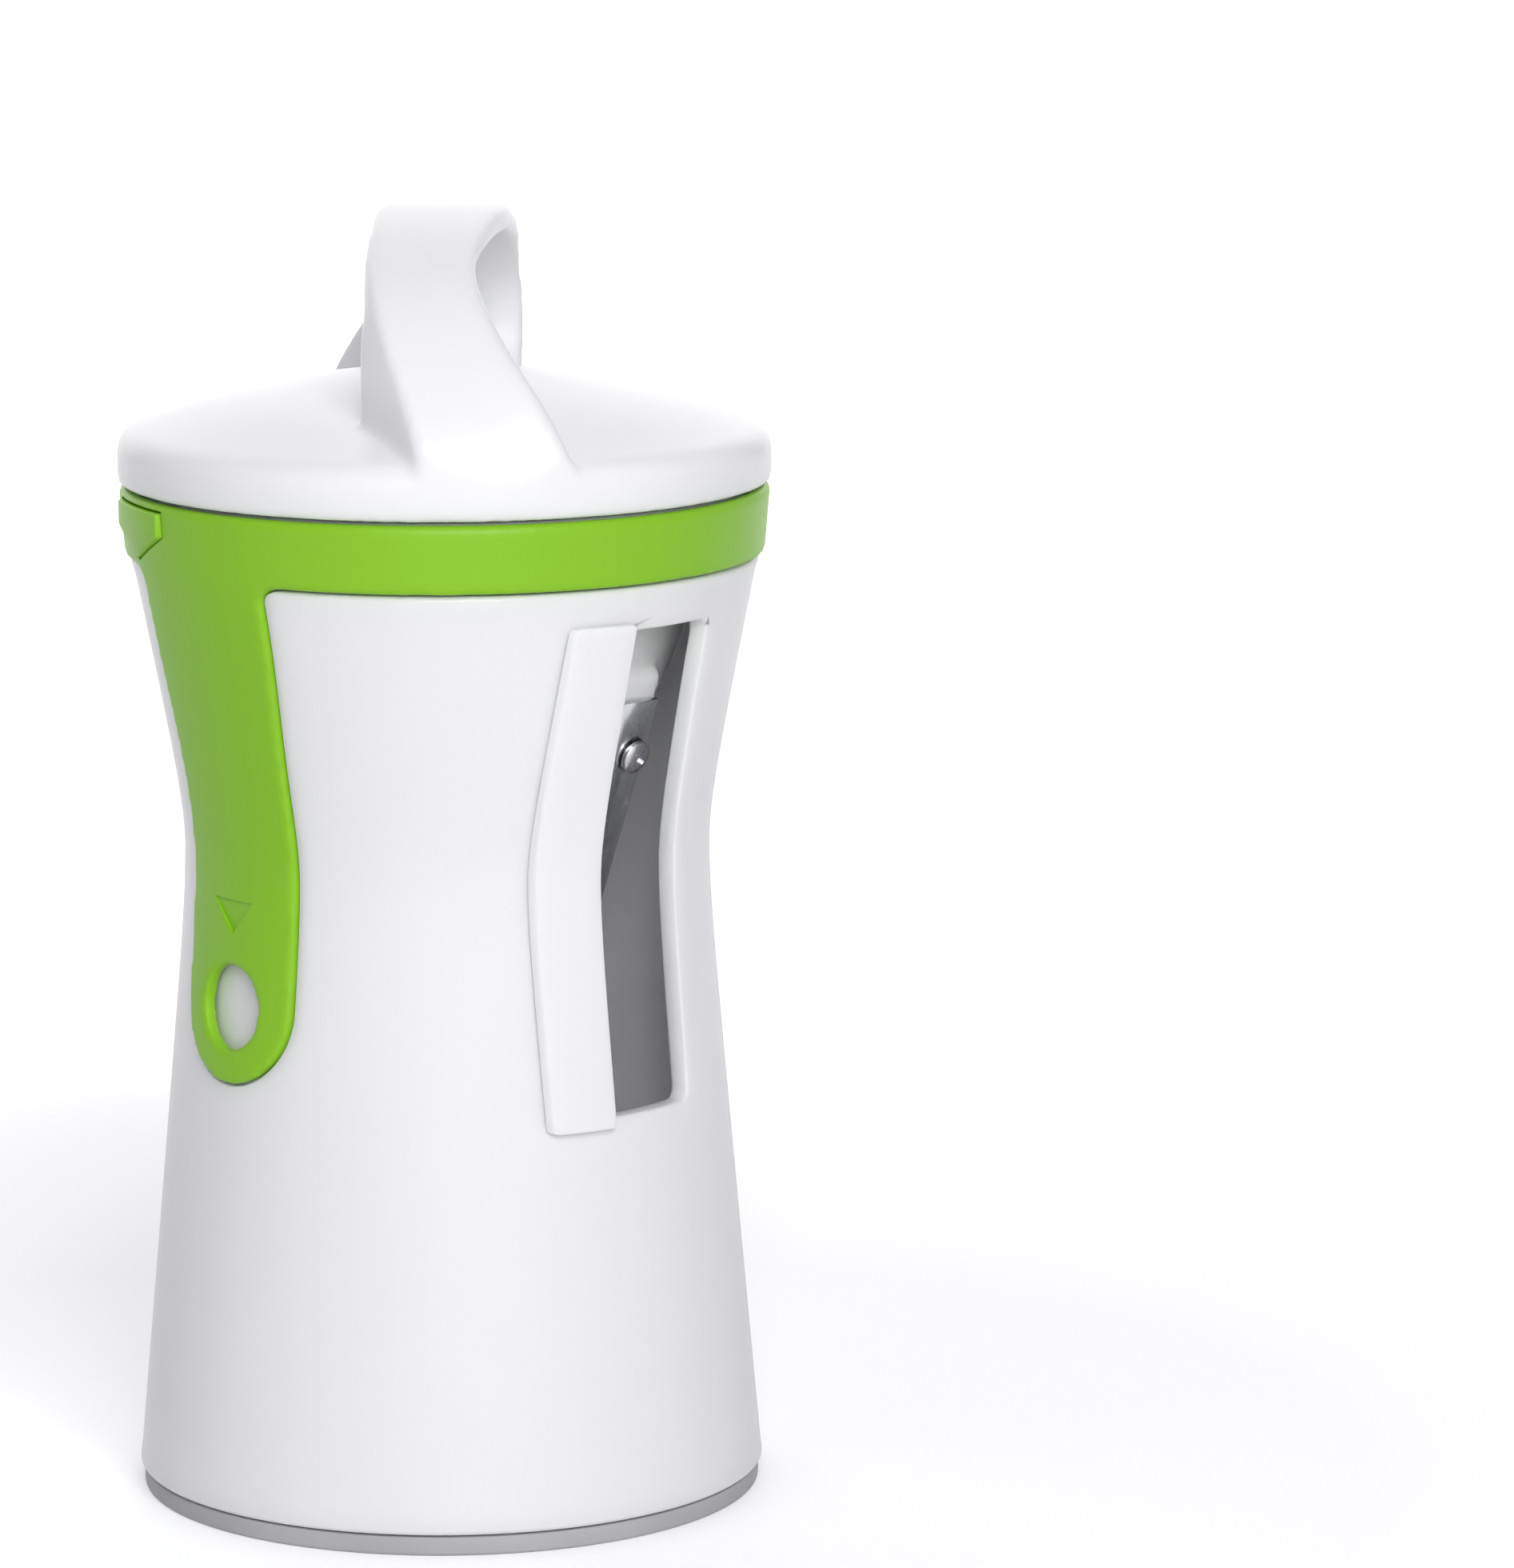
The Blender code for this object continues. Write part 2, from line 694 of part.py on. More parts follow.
# Stations of the twisted handle from its front foot to its crown, in millimetres for the
# cap and handle sizes above, and drawn out with them. Each holds the outer surface's y,
# height, centre x and width, then the same of the inner surface, and the turn of the
# section about the vertical.
handle_stations = [
    (-39.2, 4.4, 7.4, 19.8, -24.6, 9.6, -1.4, 18.4, 12.0),
    (-39.0, 8.6, 6.0, 18.8, -25.0, 13.0, -1.9, 17.8, 10.0),
    (-37.3, 14.0, 3.8, 17.3, -26.0, 17.0, -2.6, 16.6, 7.0),
    (-33.8, 19.7, 0.9, 15.5, -25.6, 20.8, -3.0, 15.4, 4.0),
    (-28.0, 25.4, -1.6, 14.0, -22.9, 24.5, -3.2, 14.2, 0.0),
    (-20.5, 30.0, -2.8, 13.4, -17.6, 27.9, -2.9, 13.8, -4.0),
    (-10.8, 33.3, -1.6, 14.8, -9.8, 30.2, -1.6, 14.8, -7.0),
    (0.0, 34.6, 0.0, 16.2, 0.0, 31.2, 0.0, 16.2, -8.0),
]


def smooth_between(values, share):
    # Catmull-Rom curve through four values
    a, b, c, d = values
    return 0.5 * ((2 * b) + (c - a) * share + (2 * a - 5 * b + 4 * c - d) * share ** 2
                  + (3 * b - a - 3 * c + d) * share ** 3)


def handle_sections(spans=3):
    front = handle_stations
    upward = handle_height / front[-1][1]
    outwards = (cap_radius - handle_inset) / -front[0][0]
    sideways = handle_foot_width / front[0][3]
    back = []
    for s in reversed(front[:-1]):
        back.append((-s[0], s[1], -s[2], s[3], -s[4], s[5], -s[6], s[7], s[8]))
    stations = front + back
    ends = [stations[0]] + stations + [stations[-1]]
    rows = []
    for i in range(len(stations) - 1):
        for k in range(spans):
            share = k / spans
            rows.append([smooth_between([s[j] for s in ends[i:i + 4]], share) for j in range(9)])
    rows.append(list(stations[-1]))
    sections = []
    for oy, oz, ox, ow, iy, iz, ix, iw, turn in rows:
        side = Vector((cos(radians(turn)), sin(radians(turn)), 0.0)) * sideways
        outer = Vector((ox * sideways, oy * outwards, oz * upward))
        inner = Vector((ix * sideways, iy * outwards, iz * upward))
        corners = [outer - side * ow / 2, outer + side * ow / 2,
                   inner + side * iw / 2, inner - side * iw / 2]
        sections.append(rounded_section(corners, handle_edge_round))
    return sections


def rounded_section(corners, radius, points=2):
    # Rounds each corner of a four-sided section with a short curve
    ring = []
    for i, corner in enumerate(corners):
        before = (corners[i - 1] - corner).normalized() * radius
        after = (corners[(i + 1) % 4] - corner).normalized() * radius
        for k in range(points + 1):
            t = k / points
            ring.append(corner + before * (1 - t) ** 2 + after * t ** 2)
    return ring


def make_handle():
    work = bmesh.new()
    rings = []
    for section in handle_sections():
        lifted = [point + Vector((0, 0, cap_bottom)) for point in section]
        rings.append([work.verts.new(point) for point in lifted])
    for lower, upper in zip(rings, rings[1:]):
        count = len(lower)
        for i in range(count):
            j = (i + 1) % count
            work.faces.new((lower[i], lower[j], upper[j], upper[i]))
    work.faces.new(reversed(rings[0]))
    work.faces.new(rings[-1])
    bmesh.ops.recalc_face_normals(work, faces=work.faces)
    for face in work.faces:
        face.smooth = True
    mesh = bpy.data.meshes.new("handle")
    work.to_mesh(mesh)
    work.free()
    return place(mesh, "handle", cutter=True)


def plate_screw_spots():
    spots = []
    for i in range(plate_screw_count):
        azimuth = 90.0 + i * 360.0 / plate_screw_count
        spots.append(outward(azimuth) * plate_screw_circle)
    return spots


def make_turning_cap():
    reach = cap_radius - cap_edge_width
    top = [(reach * i / 6, cap_bottom + dome_height(reach * i / 6)) for i in range(7)]
    side = [(reach + cap_edge_width * cos(a), cap_bottom + cap_side_height
             + cap_edge_height * sin(a)) for a in (radians(d) for d in range(72, -1, -18))]
    inner_reach = cap_radius - cap_rim_width
    under = [(inner_reach * i / 3, cap_bottom + dome_height(inner_reach * i / 3) - cap_wall)
             for i in range(3, -1, -1)]
    outline = top + side + [(cap_radius, cap_bottom), (inner_reach, cap_bottom)] + under
    cap = turned("turning_cap", outline, white_plastic, closed=False)
    add(cap, make_handle())
    for index, spot in enumerate(plate_screw_spots()):
        top_height = dome_height(plate_screw_circle) - cap_wall / 2
        frame = Matrix.Translation(spot + Vector((0, 0, cap_bottom)))
        boss = rod(f"boss_{index}", boss_radius, 0.0, top_height, frame)
        hole = rod(f"boss_hole_{index}", plate_screw_shank_radius + gap, -past,
                   plate_screw_length + gap, frame)
        add(cap, boss)
        cut(cap, hole)


# Seat ring: an angled ring that the cap turns on
def make_seat_ring():
    step = plate_flange_top + gap
    inner = plate_radius + gap
    lower_inner = plate_radius + plate_flange_width + gap
    outline = [(inner, seat_ring_top), (seat_ring_radius, seat_ring_top),
               (seat_ring_radius, seat_ring_bottom), (lower_inner, seat_ring_bottom),
               (lower_inner, step), (inner, step)]
    turned("cap_seat_ring", outline, ring_plastic)


# Spike plate
def make_spike_plate():
    outer = plate_radius + plate_flange_width
    outline = [(0.0, plate_top), (plate_radius, plate_top), (plate_radius, plate_flange_top),
               (outer, plate_flange_top), (outer, plate_bottom), (0.0, plate_bottom)]
    plate = turned("spike_plate", outline, ring_plastic, closed=False)
    flatten_caps(plate)
    low = plate_bottom - past
    high = plate_top + past
    for index, spot in enumerate(spike_spots()):
        hole = rod(f"spike_hole_{index}", spike_radius + gap, low, high,
                   Matrix.Translation(spot))
        cut(plate, hole)
    recess_top = plate_bottom + plate_screw_head_height + gap
    for index, spot in enumerate(plate_screw_spots()):
        frame = Matrix.Translation(spot)
        hole = rod(f"plate_screw_hole_{index}", plate_screw_shank_radius + gap, low, high, frame)
        recess = rod(f"plate_screw_recess_{index}", plate_screw_head_radius + gap, low,
                     recess_top, frame)
        cut(plate, hole)
        cut(plate, recess)


def spike_spots():
    spots = [Vector((0, 0, 0))]
    for i in range(spike_count):
        spots.append(outward(i * 360.0 / spike_count) * spike_circle)
    return spots


# Steel spikes, each with a flat head that rests on the plate
def make_spikes():
    for index, spot in enumerate(spike_spots()):
        length = spike_length if index else centre_spike_length
        name = f"food_spike_{index}" if index else "centre_spike"
        foot = plate_top + gap
        outline = [(0.0, foot + spike_head_height), (spike_head_radius, foot + spike_head_height),
                   (spike_head_radius, foot), (spike_radius, foot),
                   (spike_radius, plate_bottom - length * spike_straight_share),
                   (0.0, plate_bottom - length)]
        spike = turned(name, outline, blade_steel, closed=False, turns=small_steps)
        spike.location = spot


def make_plate_screws():
    head_low = plate_bottom + plate_screw_head_height
    flip = Matrix.Rotation(pi, 4, "X")
    for index, spot in enumerate(plate_screw_spots()):
        outline = screw_outline(plate_screw_head_radius, plate_screw_head_height,
                                plate_screw_shank_radius, plate_screw_length)
        screw = turned(f"plate_screw_{index + 1}", outline, screw_steel, closed=False,
                       turns=small_steps)
        screw.matrix_world = Matrix.Translation(spot + Vector((0, 0, head_low))) @ flip


make_body_shell()
make_blade_guard()
make_foot_ring()
make_grip_collar()
make_cutting_cone()
make_slicing_blade()
make_julienne_comb()
make_blade_screws()
make_turning_cap()
make_seat_ring()
make_spike_plate()
make_spikes()
make_plate_screws()
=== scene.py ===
# Looks of the hand-turned spiralizer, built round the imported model.
# Metres, +Z up, the front of the tool faces -Y. Azimuths run from the front towards +X.

import json
from math import atan, cos, hypot, pi, radians, sin

import bmesh
import bpy
from mathutils import Matrix, Vector

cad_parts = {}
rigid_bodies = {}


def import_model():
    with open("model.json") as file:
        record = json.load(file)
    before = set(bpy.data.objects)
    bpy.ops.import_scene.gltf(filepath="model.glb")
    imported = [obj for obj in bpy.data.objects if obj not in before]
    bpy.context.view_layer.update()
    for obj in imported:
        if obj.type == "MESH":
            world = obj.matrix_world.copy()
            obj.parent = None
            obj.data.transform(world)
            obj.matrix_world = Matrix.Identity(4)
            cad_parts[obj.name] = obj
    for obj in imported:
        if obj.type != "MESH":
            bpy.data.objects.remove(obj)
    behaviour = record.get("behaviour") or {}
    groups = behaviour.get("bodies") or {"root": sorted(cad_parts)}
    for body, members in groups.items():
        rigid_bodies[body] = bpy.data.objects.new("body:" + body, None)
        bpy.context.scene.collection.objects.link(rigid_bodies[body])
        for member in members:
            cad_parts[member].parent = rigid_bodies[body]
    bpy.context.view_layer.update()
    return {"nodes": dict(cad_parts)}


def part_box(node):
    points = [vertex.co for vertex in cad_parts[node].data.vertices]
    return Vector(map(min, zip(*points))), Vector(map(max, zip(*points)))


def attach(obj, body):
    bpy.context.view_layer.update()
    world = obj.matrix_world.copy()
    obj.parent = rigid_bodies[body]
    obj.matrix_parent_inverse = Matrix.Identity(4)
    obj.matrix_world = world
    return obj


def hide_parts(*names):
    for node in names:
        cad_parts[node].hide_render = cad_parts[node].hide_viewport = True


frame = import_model()
mm = 0.001
gap = 0.3 * mm  # between pieces that touch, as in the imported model
dropInGap = 0.4 * mm  # round pieces that drop into others
past = 6.0 * mm  # how far a cutting shape runs past what it cuts
weld = 0.01 * mm  # points nearer than this become one
smoothBelow = 32  # degrees: edges sharper than this stay crisp in the shading
print("frame loaded:", len(frame["nodes"]), "nodes")


# Modelling by hand, in code

def pickOnly(item):
    bpy.ops.object.select_all(action="DESELECT")
    item.select_set(True)
    bpy.context.view_layer.objects.active = item


def editAll(item):
    pickOnly(item)
    bpy.ops.object.mode_set(mode="EDIT")
    bpy.ops.mesh.select_all(action="SELECT")


def backToObject():
    bpy.ops.object.mode_set(mode="OBJECT")


def placeIn(item, place):
    # moves a shape into a frame and applies it, so that the object stays at the origin
    item.matrix_world = place
    pickOnly(item)
    bpy.ops.object.transform_apply(location=True, rotation=True, scale=True)


def drawOutline(name, points):
    # a chain of edges through the points, left in edit mode with all of it selected
    bpy.ops.object.select_all(action="DESELECT")
    bpy.ops.mesh.primitive_plane_add(size=mm)
    item = bpy.context.object
    item.name = name
    editAll(item)
    bpy.ops.mesh.merge(type="CENTER")
    bpy.ops.transform.translate(value=points[0])
    for before, after in zip(points, points[1:]):
        step = [a - b for a, b in zip(after, before)]
        bpy.ops.mesh.extrude_region_move(TRANSFORM_OT_translate={"value": step})
    bpy.ops.mesh.select_all(action="SELECT")
    return item


def tidySurface():
    bpy.ops.mesh.select_all(action="SELECT")
    bpy.ops.mesh.remove_doubles(threshold=weld)
    bpy.ops.mesh.normals_make_consistent(inside=False)
    backToObject()


def lathe(name, outline, turns=144, closed=True):
    # spins an outline of (radius, height) points about Z
    points = [(radius, 0.0, height) for radius, height in outline]
    if closed:
        points.append(points[0])
    item = drawOutline(name, points)
    bpy.ops.mesh.spin(steps=turns, angle=2 * pi, center=(0, 0, 0), axis=(0, 0, 1))
    tidySurface()
    return item


def prism(name, outline, near, far, place):
    # a flat outline in the frame's X and Y, pulled out along its Z
    item = drawOutline(name, [(x, y, near) for x, y in outline])
    bpy.ops.mesh.edge_face_add()
    bpy.ops.mesh.extrude_region_move(TRANSFORM_OT_translate={"value": (0, 0, far - near)})
    tidySurface()
    placeIn(item, place)
    return item


def box(name, xSpan, ySpan, zSpan, place):
    bpy.ops.object.select_all(action="DESELECT")
    bpy.ops.mesh.primitive_cube_add(size=1.0)
    item = bpy.context.object
    item.name = name
    spans = (xSpan, ySpan, zSpan)
    editAll(item)
    bpy.ops.transform.resize(value=[high - low for low, high in spans])
    bpy.ops.transform.translate(value=[(low + high) / 2 for low, high in spans])
    backToObject()
    placeIn(item, place)
    return item


def rod(name, radius, near, far, place, sides=48):
    bpy.ops.object.select_all(action="DESELECT")
    bpy.ops.mesh.primitive_cylinder_add(vertices=sides, radius=radius, depth=far - near)
    item = bpy.context.object
    item.name = name
    editAll(item)
    bpy.ops.transform.translate(value=(0, 0, (near + far) / 2))
    backToObject()
    placeIn(item, place)
    return item


def carve(item, tool, operation="DIFFERENCE"):
    # cuts with the tool, joins it or keeps only what both share, and throws the tool away
    pickOnly(item)
    step = item.modifiers.new("carve", "BOOLEAN")
    step.operation = operation
    step.object = tool
    step.solver = "EXACT"
    bpy.ops.object.modifier_apply(modifier=step.name)
    bpy.data.objects.remove(tool)


def soften(item, width, sharperThan=50, segments=3):
    # rounds every edge sharper than an angle, once no point crowds those edges
    crowded = 1.5 * width
    editAll(item)
    bpy.ops.mesh.select_mode(type="VERT")
    bpy.ops.mesh.select_all(action="DESELECT")
    bpy.ops.mesh.edges_select_sharp(sharpness=radians(sharperThan))
    bpy.ops.mesh.remove_doubles(threshold=width)
    bpy.ops.object.vertex_group_assign_new()
    bpy.ops.mesh.select_more()
    bpy.ops.mesh.hide(unselected=True)
    bpy.ops.mesh.select_all(action="SELECT")
    bpy.ops.object.vertex_group_deselect()
    bpy.ops.mesh.remove_doubles(threshold=crowded, use_unselected=True)
    bpy.ops.mesh.reveal(select=False)
    bpy.ops.mesh.select_all(action="SELECT")
    bpy.ops.mesh.fill_holes(sides=12)  # slivers that the merging may leave open
    backToObject()
    item.vertex_groups.clear()
    step = item.modifiers.new("soften", "BEVEL")
    step.width = width
    step.segments = segments
    step.limit_method = "ANGLE"
    step.angle_limit = radians(sharperThan)
    step.use_clamp_overlap = False
    bpy.ops.object.modifier_apply(modifier=step.name)


def fuse(item, cell, rounds, sharperThan=18):
    # recasts what was joined as one even skin and eases its sharp edges
    pickOnly(item)
    step = item.modifiers.new("fuse", "REMESH")
    step.mode = "VOXEL"
    step.voxel_size = cell
    bpy.ops.object.modifier_apply(modifier=step.name)
    editAll(item)
    bpy.ops.mesh.vertices_smooth(factor=0.5, repeat=2)
    bpy.ops.mesh.select_all(action="DESELECT")
    bpy.ops.mesh.select_mode(type="VERT")
    bpy.ops.mesh.edges_select_sharp(sharpness=radians(sharperThan))
    bpy.ops.mesh.select_more()
    bpy.ops.mesh.vertices_smooth(factor=0.5, repeat=rounds)
    backToObject()


def copyOf(item, name, place):
    twin = item.copy()
    twin.data = item.data.copy()
    twin.name = name
    bpy.context.scene.collection.objects.link(twin)
    placeIn(twin, place)
    return twin


def finishPiece(item, material, body, nodes):
    pickOnly(item)
    bpy.ops.object.shade_smooth_by_angle(angle=radians(smoothBelow))
    item.data.materials.clear()
    item.data.materials.append(material)
    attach(item, body)
    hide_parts(*nodes)


def evenSteps(start, end, count):
    return [start + (end - start) * i / count for i in range(count + 1)]


def arcPoints(x, y, radius, start, end, count):
    angles = [radians(degrees) for degrees in evenSteps(start, end, count)]
    return [(x + radius * cos(a), y + radius * sin(a)) for a in angles]


def roundedRectangle(left, right, bottom, top, corner, count):
    outline = []
    for x, y, start in ((right - corner, bottom + corner, -90), (right - corner, top - corner, 0),
                        (left + corner, top - corner, 90), (left + corner, bottom + corner, 180)):
        outline += arcPoints(x, y, corner, start, start + 90, count)
    return outline


def outward(azimuth):
    return Vector((sin(radians(azimuth)), -cos(radians(azimuth)), 0.0))


def across(azimuth):
    return Vector((cos(radians(azimuth)), sin(radians(azimuth)), 0.0))


def frameOf(xAxis, yAxis, zAxis, origin=Vector((0, 0, 0))):
    place = Matrix((xAxis, yAxis, zAxis)).transposed().to_4x4()
    place.translation = origin
    return place


def sideFrame(azimuth, height=0.0):
    # X runs across, Y up and Z outward at this azimuth
    return frameOf(across(azimuth), Vector((0, 0, 1)), outward(azimuth), Vector((0, 0, height)))


# Finishes

patchSpan = (0.3, 0.7)  # the part of the noise that the patches of a moulding spread over
grainDepth = 0.1 * mm
scratchSpan = (0.35, 0.65)
scratchDepth = 0.05 * mm


def newGroup(name, inputs, outputs):
    group = bpy.data.node_groups.new(name, "ShaderNodeTree")
    for label, value in inputs:
        socket = group.interface.new_socket(label, in_out="INPUT", socket_type="NodeSocketFloat")
        socket.default_value = value
    for label in outputs:
        group.interface.new_socket(label, in_out="OUTPUT", socket_type="NodeSocketFloat")
    return group


def link(tree, source, target):
    tree.links.new(source, target)


def mouldGrainGroup():
    # fine skin of moulded plastic: a height for bump and a slow patchiness for colour and gloss
    group = newGroup("mouldGrain", [("Grain Size", 2500.0), ("Patch Size", 45.0)],
                     ["Height", "Patches"])
    nodes = group.nodes
    inside = nodes.new("NodeGroupInput")
    outside = nodes.new("NodeGroupOutput")
    place = nodes.new("ShaderNodeTexCoord")
    grain = nodes.new("ShaderNodeTexNoise")
    grain.inputs["Detail"].default_value = 3.0
    patches = nodes.new("ShaderNodeTexNoise")
    patches.inputs["Detail"].default_value = 1.0
    for noise, label in ((grain, "Grain Size"), (patches, "Patch Size")):
        link(group, place.outputs["Object"], noise.inputs["Vector"])
        link(group, inside.outputs[label], noise.inputs["Scale"])
    link(group, grain.outputs["Fac"], outside.inputs["Height"])
    link(group, patches.outputs["Fac"], outside.inputs["Patches"])
    return group


def rampBetween(tree, low, high, span):
    # a colour ramp between two colours, or two plain values
    ramp = tree.nodes.new("ShaderNodeValToRGB")
    first, last = ramp.color_ramp.elements
    first.position, last.position = span
    first.color = (*low, 1) if isinstance(low, tuple) else (low, low, low, 1)
    last.color = (*high, 1) if isinstance(high, tuple) else (high, high, high, 1)
    return ramp


def newMaterial(name):
    material = bpy.data.materials.new(name)
    material.use_nodes = True
    return material, material.node_tree, material.node_tree.nodes["Principled BSDF"]


def addSurface(tree, shader, look, span, depth, pattern, height):
    # colour and roughness that follow a pattern, and a bump that follows a height
    colour = rampBetween(tree, look["shade"], look["colour"], span)
    gloss = rampBetween(tree, look["roughness"] - look["glossSpread"],
                        look["roughness"] + look["glossSpread"], span)
    bump = tree.nodes.new("ShaderNodeBump")
    bump.inputs["Strength"].default_value = look["bump"]
    bump.inputs["Distance"].default_value = depth
    link(tree, pattern, colour.inputs["Fac"])
    link(tree, pattern, gloss.inputs["Fac"])
    link(tree, height, bump.inputs["Height"])
    link(tree, colour.outputs["Color"], shader.inputs["Base Color"])
    link(tree, gloss.outputs["Color"], shader.inputs["Roughness"])
    link(tree, bump.outputs["Normal"], shader.inputs["Normal"])


def plastic(name, look):
    # moulded plastic: two close shades in slow patches, gloss that varies with them, fine grain
    material, tree, shader = newMaterial(name)
    grain = tree.nodes.new("ShaderNodeGroup")
    grain.node_tree = mouldGrain
    grain.inputs["Grain Size"].default_value = look["grainSize"]
    grain.inputs["Patch Size"].default_value = look["patchSize"]
    addSurface(tree, shader, look, patchSpan, grainDepth, grain.outputs["Patches"],
               grain.outputs["Height"])
    shader.inputs["IOR"].default_value = 1.5
    shader.inputs["Specular IOR Level"].default_value = look["shine"]
    shader.inputs["Subsurface Weight"].default_value = look["glow"]
    shader.inputs["Subsurface Radius"].default_value = (1.0, 1.0, 1.0)
    shader.inputs["Subsurface Scale"].default_value = look["glowDepth"]
    return material


def steel(name, look):
    # ground steel: scratches drawn out along the grinding direction
    material, tree, shader = newMaterial(name)
    shader.inputs["Metallic"].default_value = 1.0
    place = tree.nodes.new("ShaderNodeTexCoord")
    stretch = tree.nodes.new("ShaderNodeMapping")
    stretch.inputs["Scale"].default_value = look["stretch"]
    scratches = tree.nodes.new("ShaderNodeTexNoise")
    scratches.inputs["Scale"].default_value = look["scratchSize"]
    scratches.inputs["Detail"].default_value = 5.0
    link(tree, place.outputs["Object"], stretch.inputs["Vector"])
    link(tree, stretch.outputs["Vector"], scratches.inputs["Vector"])
    addSurface(tree, shader, look, scratchSpan, scratchDepth, scratches.outputs["Fac"],
               scratches.outputs["Fac"])
    return material


mouldGrain = mouldGrainGroup()

whiteLook = {
    "colour": (0.885, 0.886, 0.892), "shade": (0.868, 0.87, 0.878),
    "roughness": 0.34, "glossSpread": 0.02, "shine": 0.36, "glow": 0.6, "glowDepth": 4.5 * mm,
    "grainSize": 3500.0, "bump": 0.05, "patchSize": 30.0,
}
whitePlastic = plastic("whitePlastic", whiteLook)
guardPlastic = plastic("guardPlastic", {**whiteLook, "glow": 0.12})  # thin, on a solid backing
# grey-lavender of the step ring and the spike plate: painted shade from under the cap's
# overhanging rim
underCapShadeGrey = plastic("underCapShadeGrey", {
    "colour": (0.78, 0.79, 0.81), "shade": (0.755, 0.765, 0.79),
    "roughness": 0.38, "glossSpread": 0.02, "shine": 0.4, "glow": 0.3, "glowDepth": 2.0 * mm,
    "grainSize": 3500.0, "bump": 0.06, "patchSize": 30.0,
})
greenGrip = plastic("greenGrip", {
    "colour": (0.245, 0.54, 0.016), "shade": (0.225, 0.505, 0.014),
    "roughness": 0.42, "glossSpread": 0.03, "shine": 0.3, "glow": 0.0, "glowDepth": 1.0 * mm,
    "grainSize": 2600.0, "bump": 0.12, "patchSize": 30.0,
})
# grey of the foot ring: painted shade of the body's bottom edge, which lies in shadow, given to a
# rubber ring
shadeGreyFoot = plastic("shadeGreyFoot", {
    "colour": (0.46, 0.46, 0.47), "shade": (0.4, 0.4, 0.41),
    "roughness": 0.62, "glossSpread": 0.06, "shine": 0.35, "glow": 0.0, "glowDepth": 1.0 * mm,
    "grainSize": 1500.0, "bump": 0.3, "patchSize": 60.0,
})
bladeSteel = steel("bladeSteel", {
    "colour": (0.66, 0.67, 0.69), "shade": (0.56, 0.57, 0.59),
    "roughness": 0.24, "glossSpread": 0.08, "bump": 0.15,
    "stretch": (1.0, 1.0, 0.04), "scratchSize": 900.0,
})
screwSteel = steel("screwSteel", {
    "colour": (0.6, 0.6, 0.62), "shade": (0.5, 0.5, 0.52),
    "roughness": 0.3, "glossSpread": 0.08, "bump": 0.15,
    "stretch": (1.0, 1.0, 0.3), "scratchSize": 700.0,
})
print("finishes made")


# Body shell, with its window and the recess for the arm

body = {
    "waistRadius": 33.35 * mm, "waistHeight": 83.0 * mm,
    "footRadius": 40.0 * mm, "shoulderRadius": 39.6 * mm,
    "lowerBend": 8.0 * mm, "upperBend": 7.0 * mm,
    "bottom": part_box("body_shell")[0].z, "top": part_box("body_shell")[1].z,
    "wall": 2.6 * mm, "rimRound": 0.6 * mm, "rows": 72,
}
body["cutFrom"] = body["waistRadius"] / 2  # shapes that cut the wall run right through it
body["cutTo"] = 1.5 * body["waistRadius"]
window = {
    "azimuth": 54.0, "left": -14.5 * mm, "right": 2.4 * mm,
    "height": 61.4 * mm, "belowTop": 5.6 * mm, "corner": 1.6 * mm, "edgeRound": 0.4 * mm,
}
window["top"] = body["top"] - window["belowTop"]
window["bottom"] = window["top"] - window["height"]


def bend(distance, reach, softness):
    # 0 at the waist and 1 at the end of its reach, straight but for a soft start
    return (hypot(distance, softness) - softness) / (hypot(reach, softness) - softness)


def hourglass(height):
    # radius of the outside of the body at a height
    waist = body["waistHeight"]
    if height < waist:
        share = bend(waist - height, waist - body["bottom"], body["lowerBend"])
        return body["waistRadius"] + (body["footRadius"] - body["waistRadius"]) * share
    share = bend(height - waist, body["top"] - waist, body["upperBend"])
    return body["waistRadius"] + (body["shoulderRadius"] - body["waistRadius"]) * share


def skin(top, bottom, outside, inside, count):
    # closed outline between two surfaces that follow the hourglass
    heights = evenSteps(top, bottom, count)
    outer = [(hourglass(z) + outside, z) for z in heights]
    inner = [(hourglass(z) + inside, z) for z in reversed(heights)]
    return outer + inner


def makeBodyShell():
    edge = body["rimRound"]
    heights = evenSteps(body["top"] - edge, body["bottom"] + edge, body["rows"])
    outline = arcPoints(hourglass(body["top"]) - edge, heights[0], edge, 90, 0, count=4)
    outline += [(hourglass(z), z) for z in heights[1:-1]]
    outline += arcPoints(hourglass(body["bottom"]) - edge, heights[-1], edge, 0, -90, count=4)
    outline += [(hourglass(z) - body["wall"], z)
                for z in evenSteps(body["bottom"], body["top"], body["rows"] // 2)]
    shell = lathe("bodyShell", outline)

    opening = roundedRectangle(window["left"], window["right"], window["bottom"], window["top"],
                               window["corner"], count=5)
    carve(shell, prism("opening", opening, body["cutFrom"], body["cutTo"],
                       sideFrame(window["azimuth"])))
    soften(shell, window["edgeRound"])

    recess = lathe("recess", skin(body["top"] + past, arm["tip"] - past, past, -arm["recess"],
                                  arm["rows"]))
    carve(recess, prism("recessShape", armOutline(gap, body["top"] + past / 2), body["cutFrom"],
                        body["cutTo"], sideFrame(arm["azimuth"])), "INTERSECT")
    carve(shell, recess)
    finishPiece(shell, whitePlastic, "holder", ["body_shell"])


# Guard strip beside the window

guard = {
    "beside": 5.9 * mm, "width": 8.0 * mm, "overrun": 1.1 * mm,
    "thickness": 1.2 * mm, "corner": 0.5 * mm, "edgeRound": 0.35 * mm, "rows": 64,
}


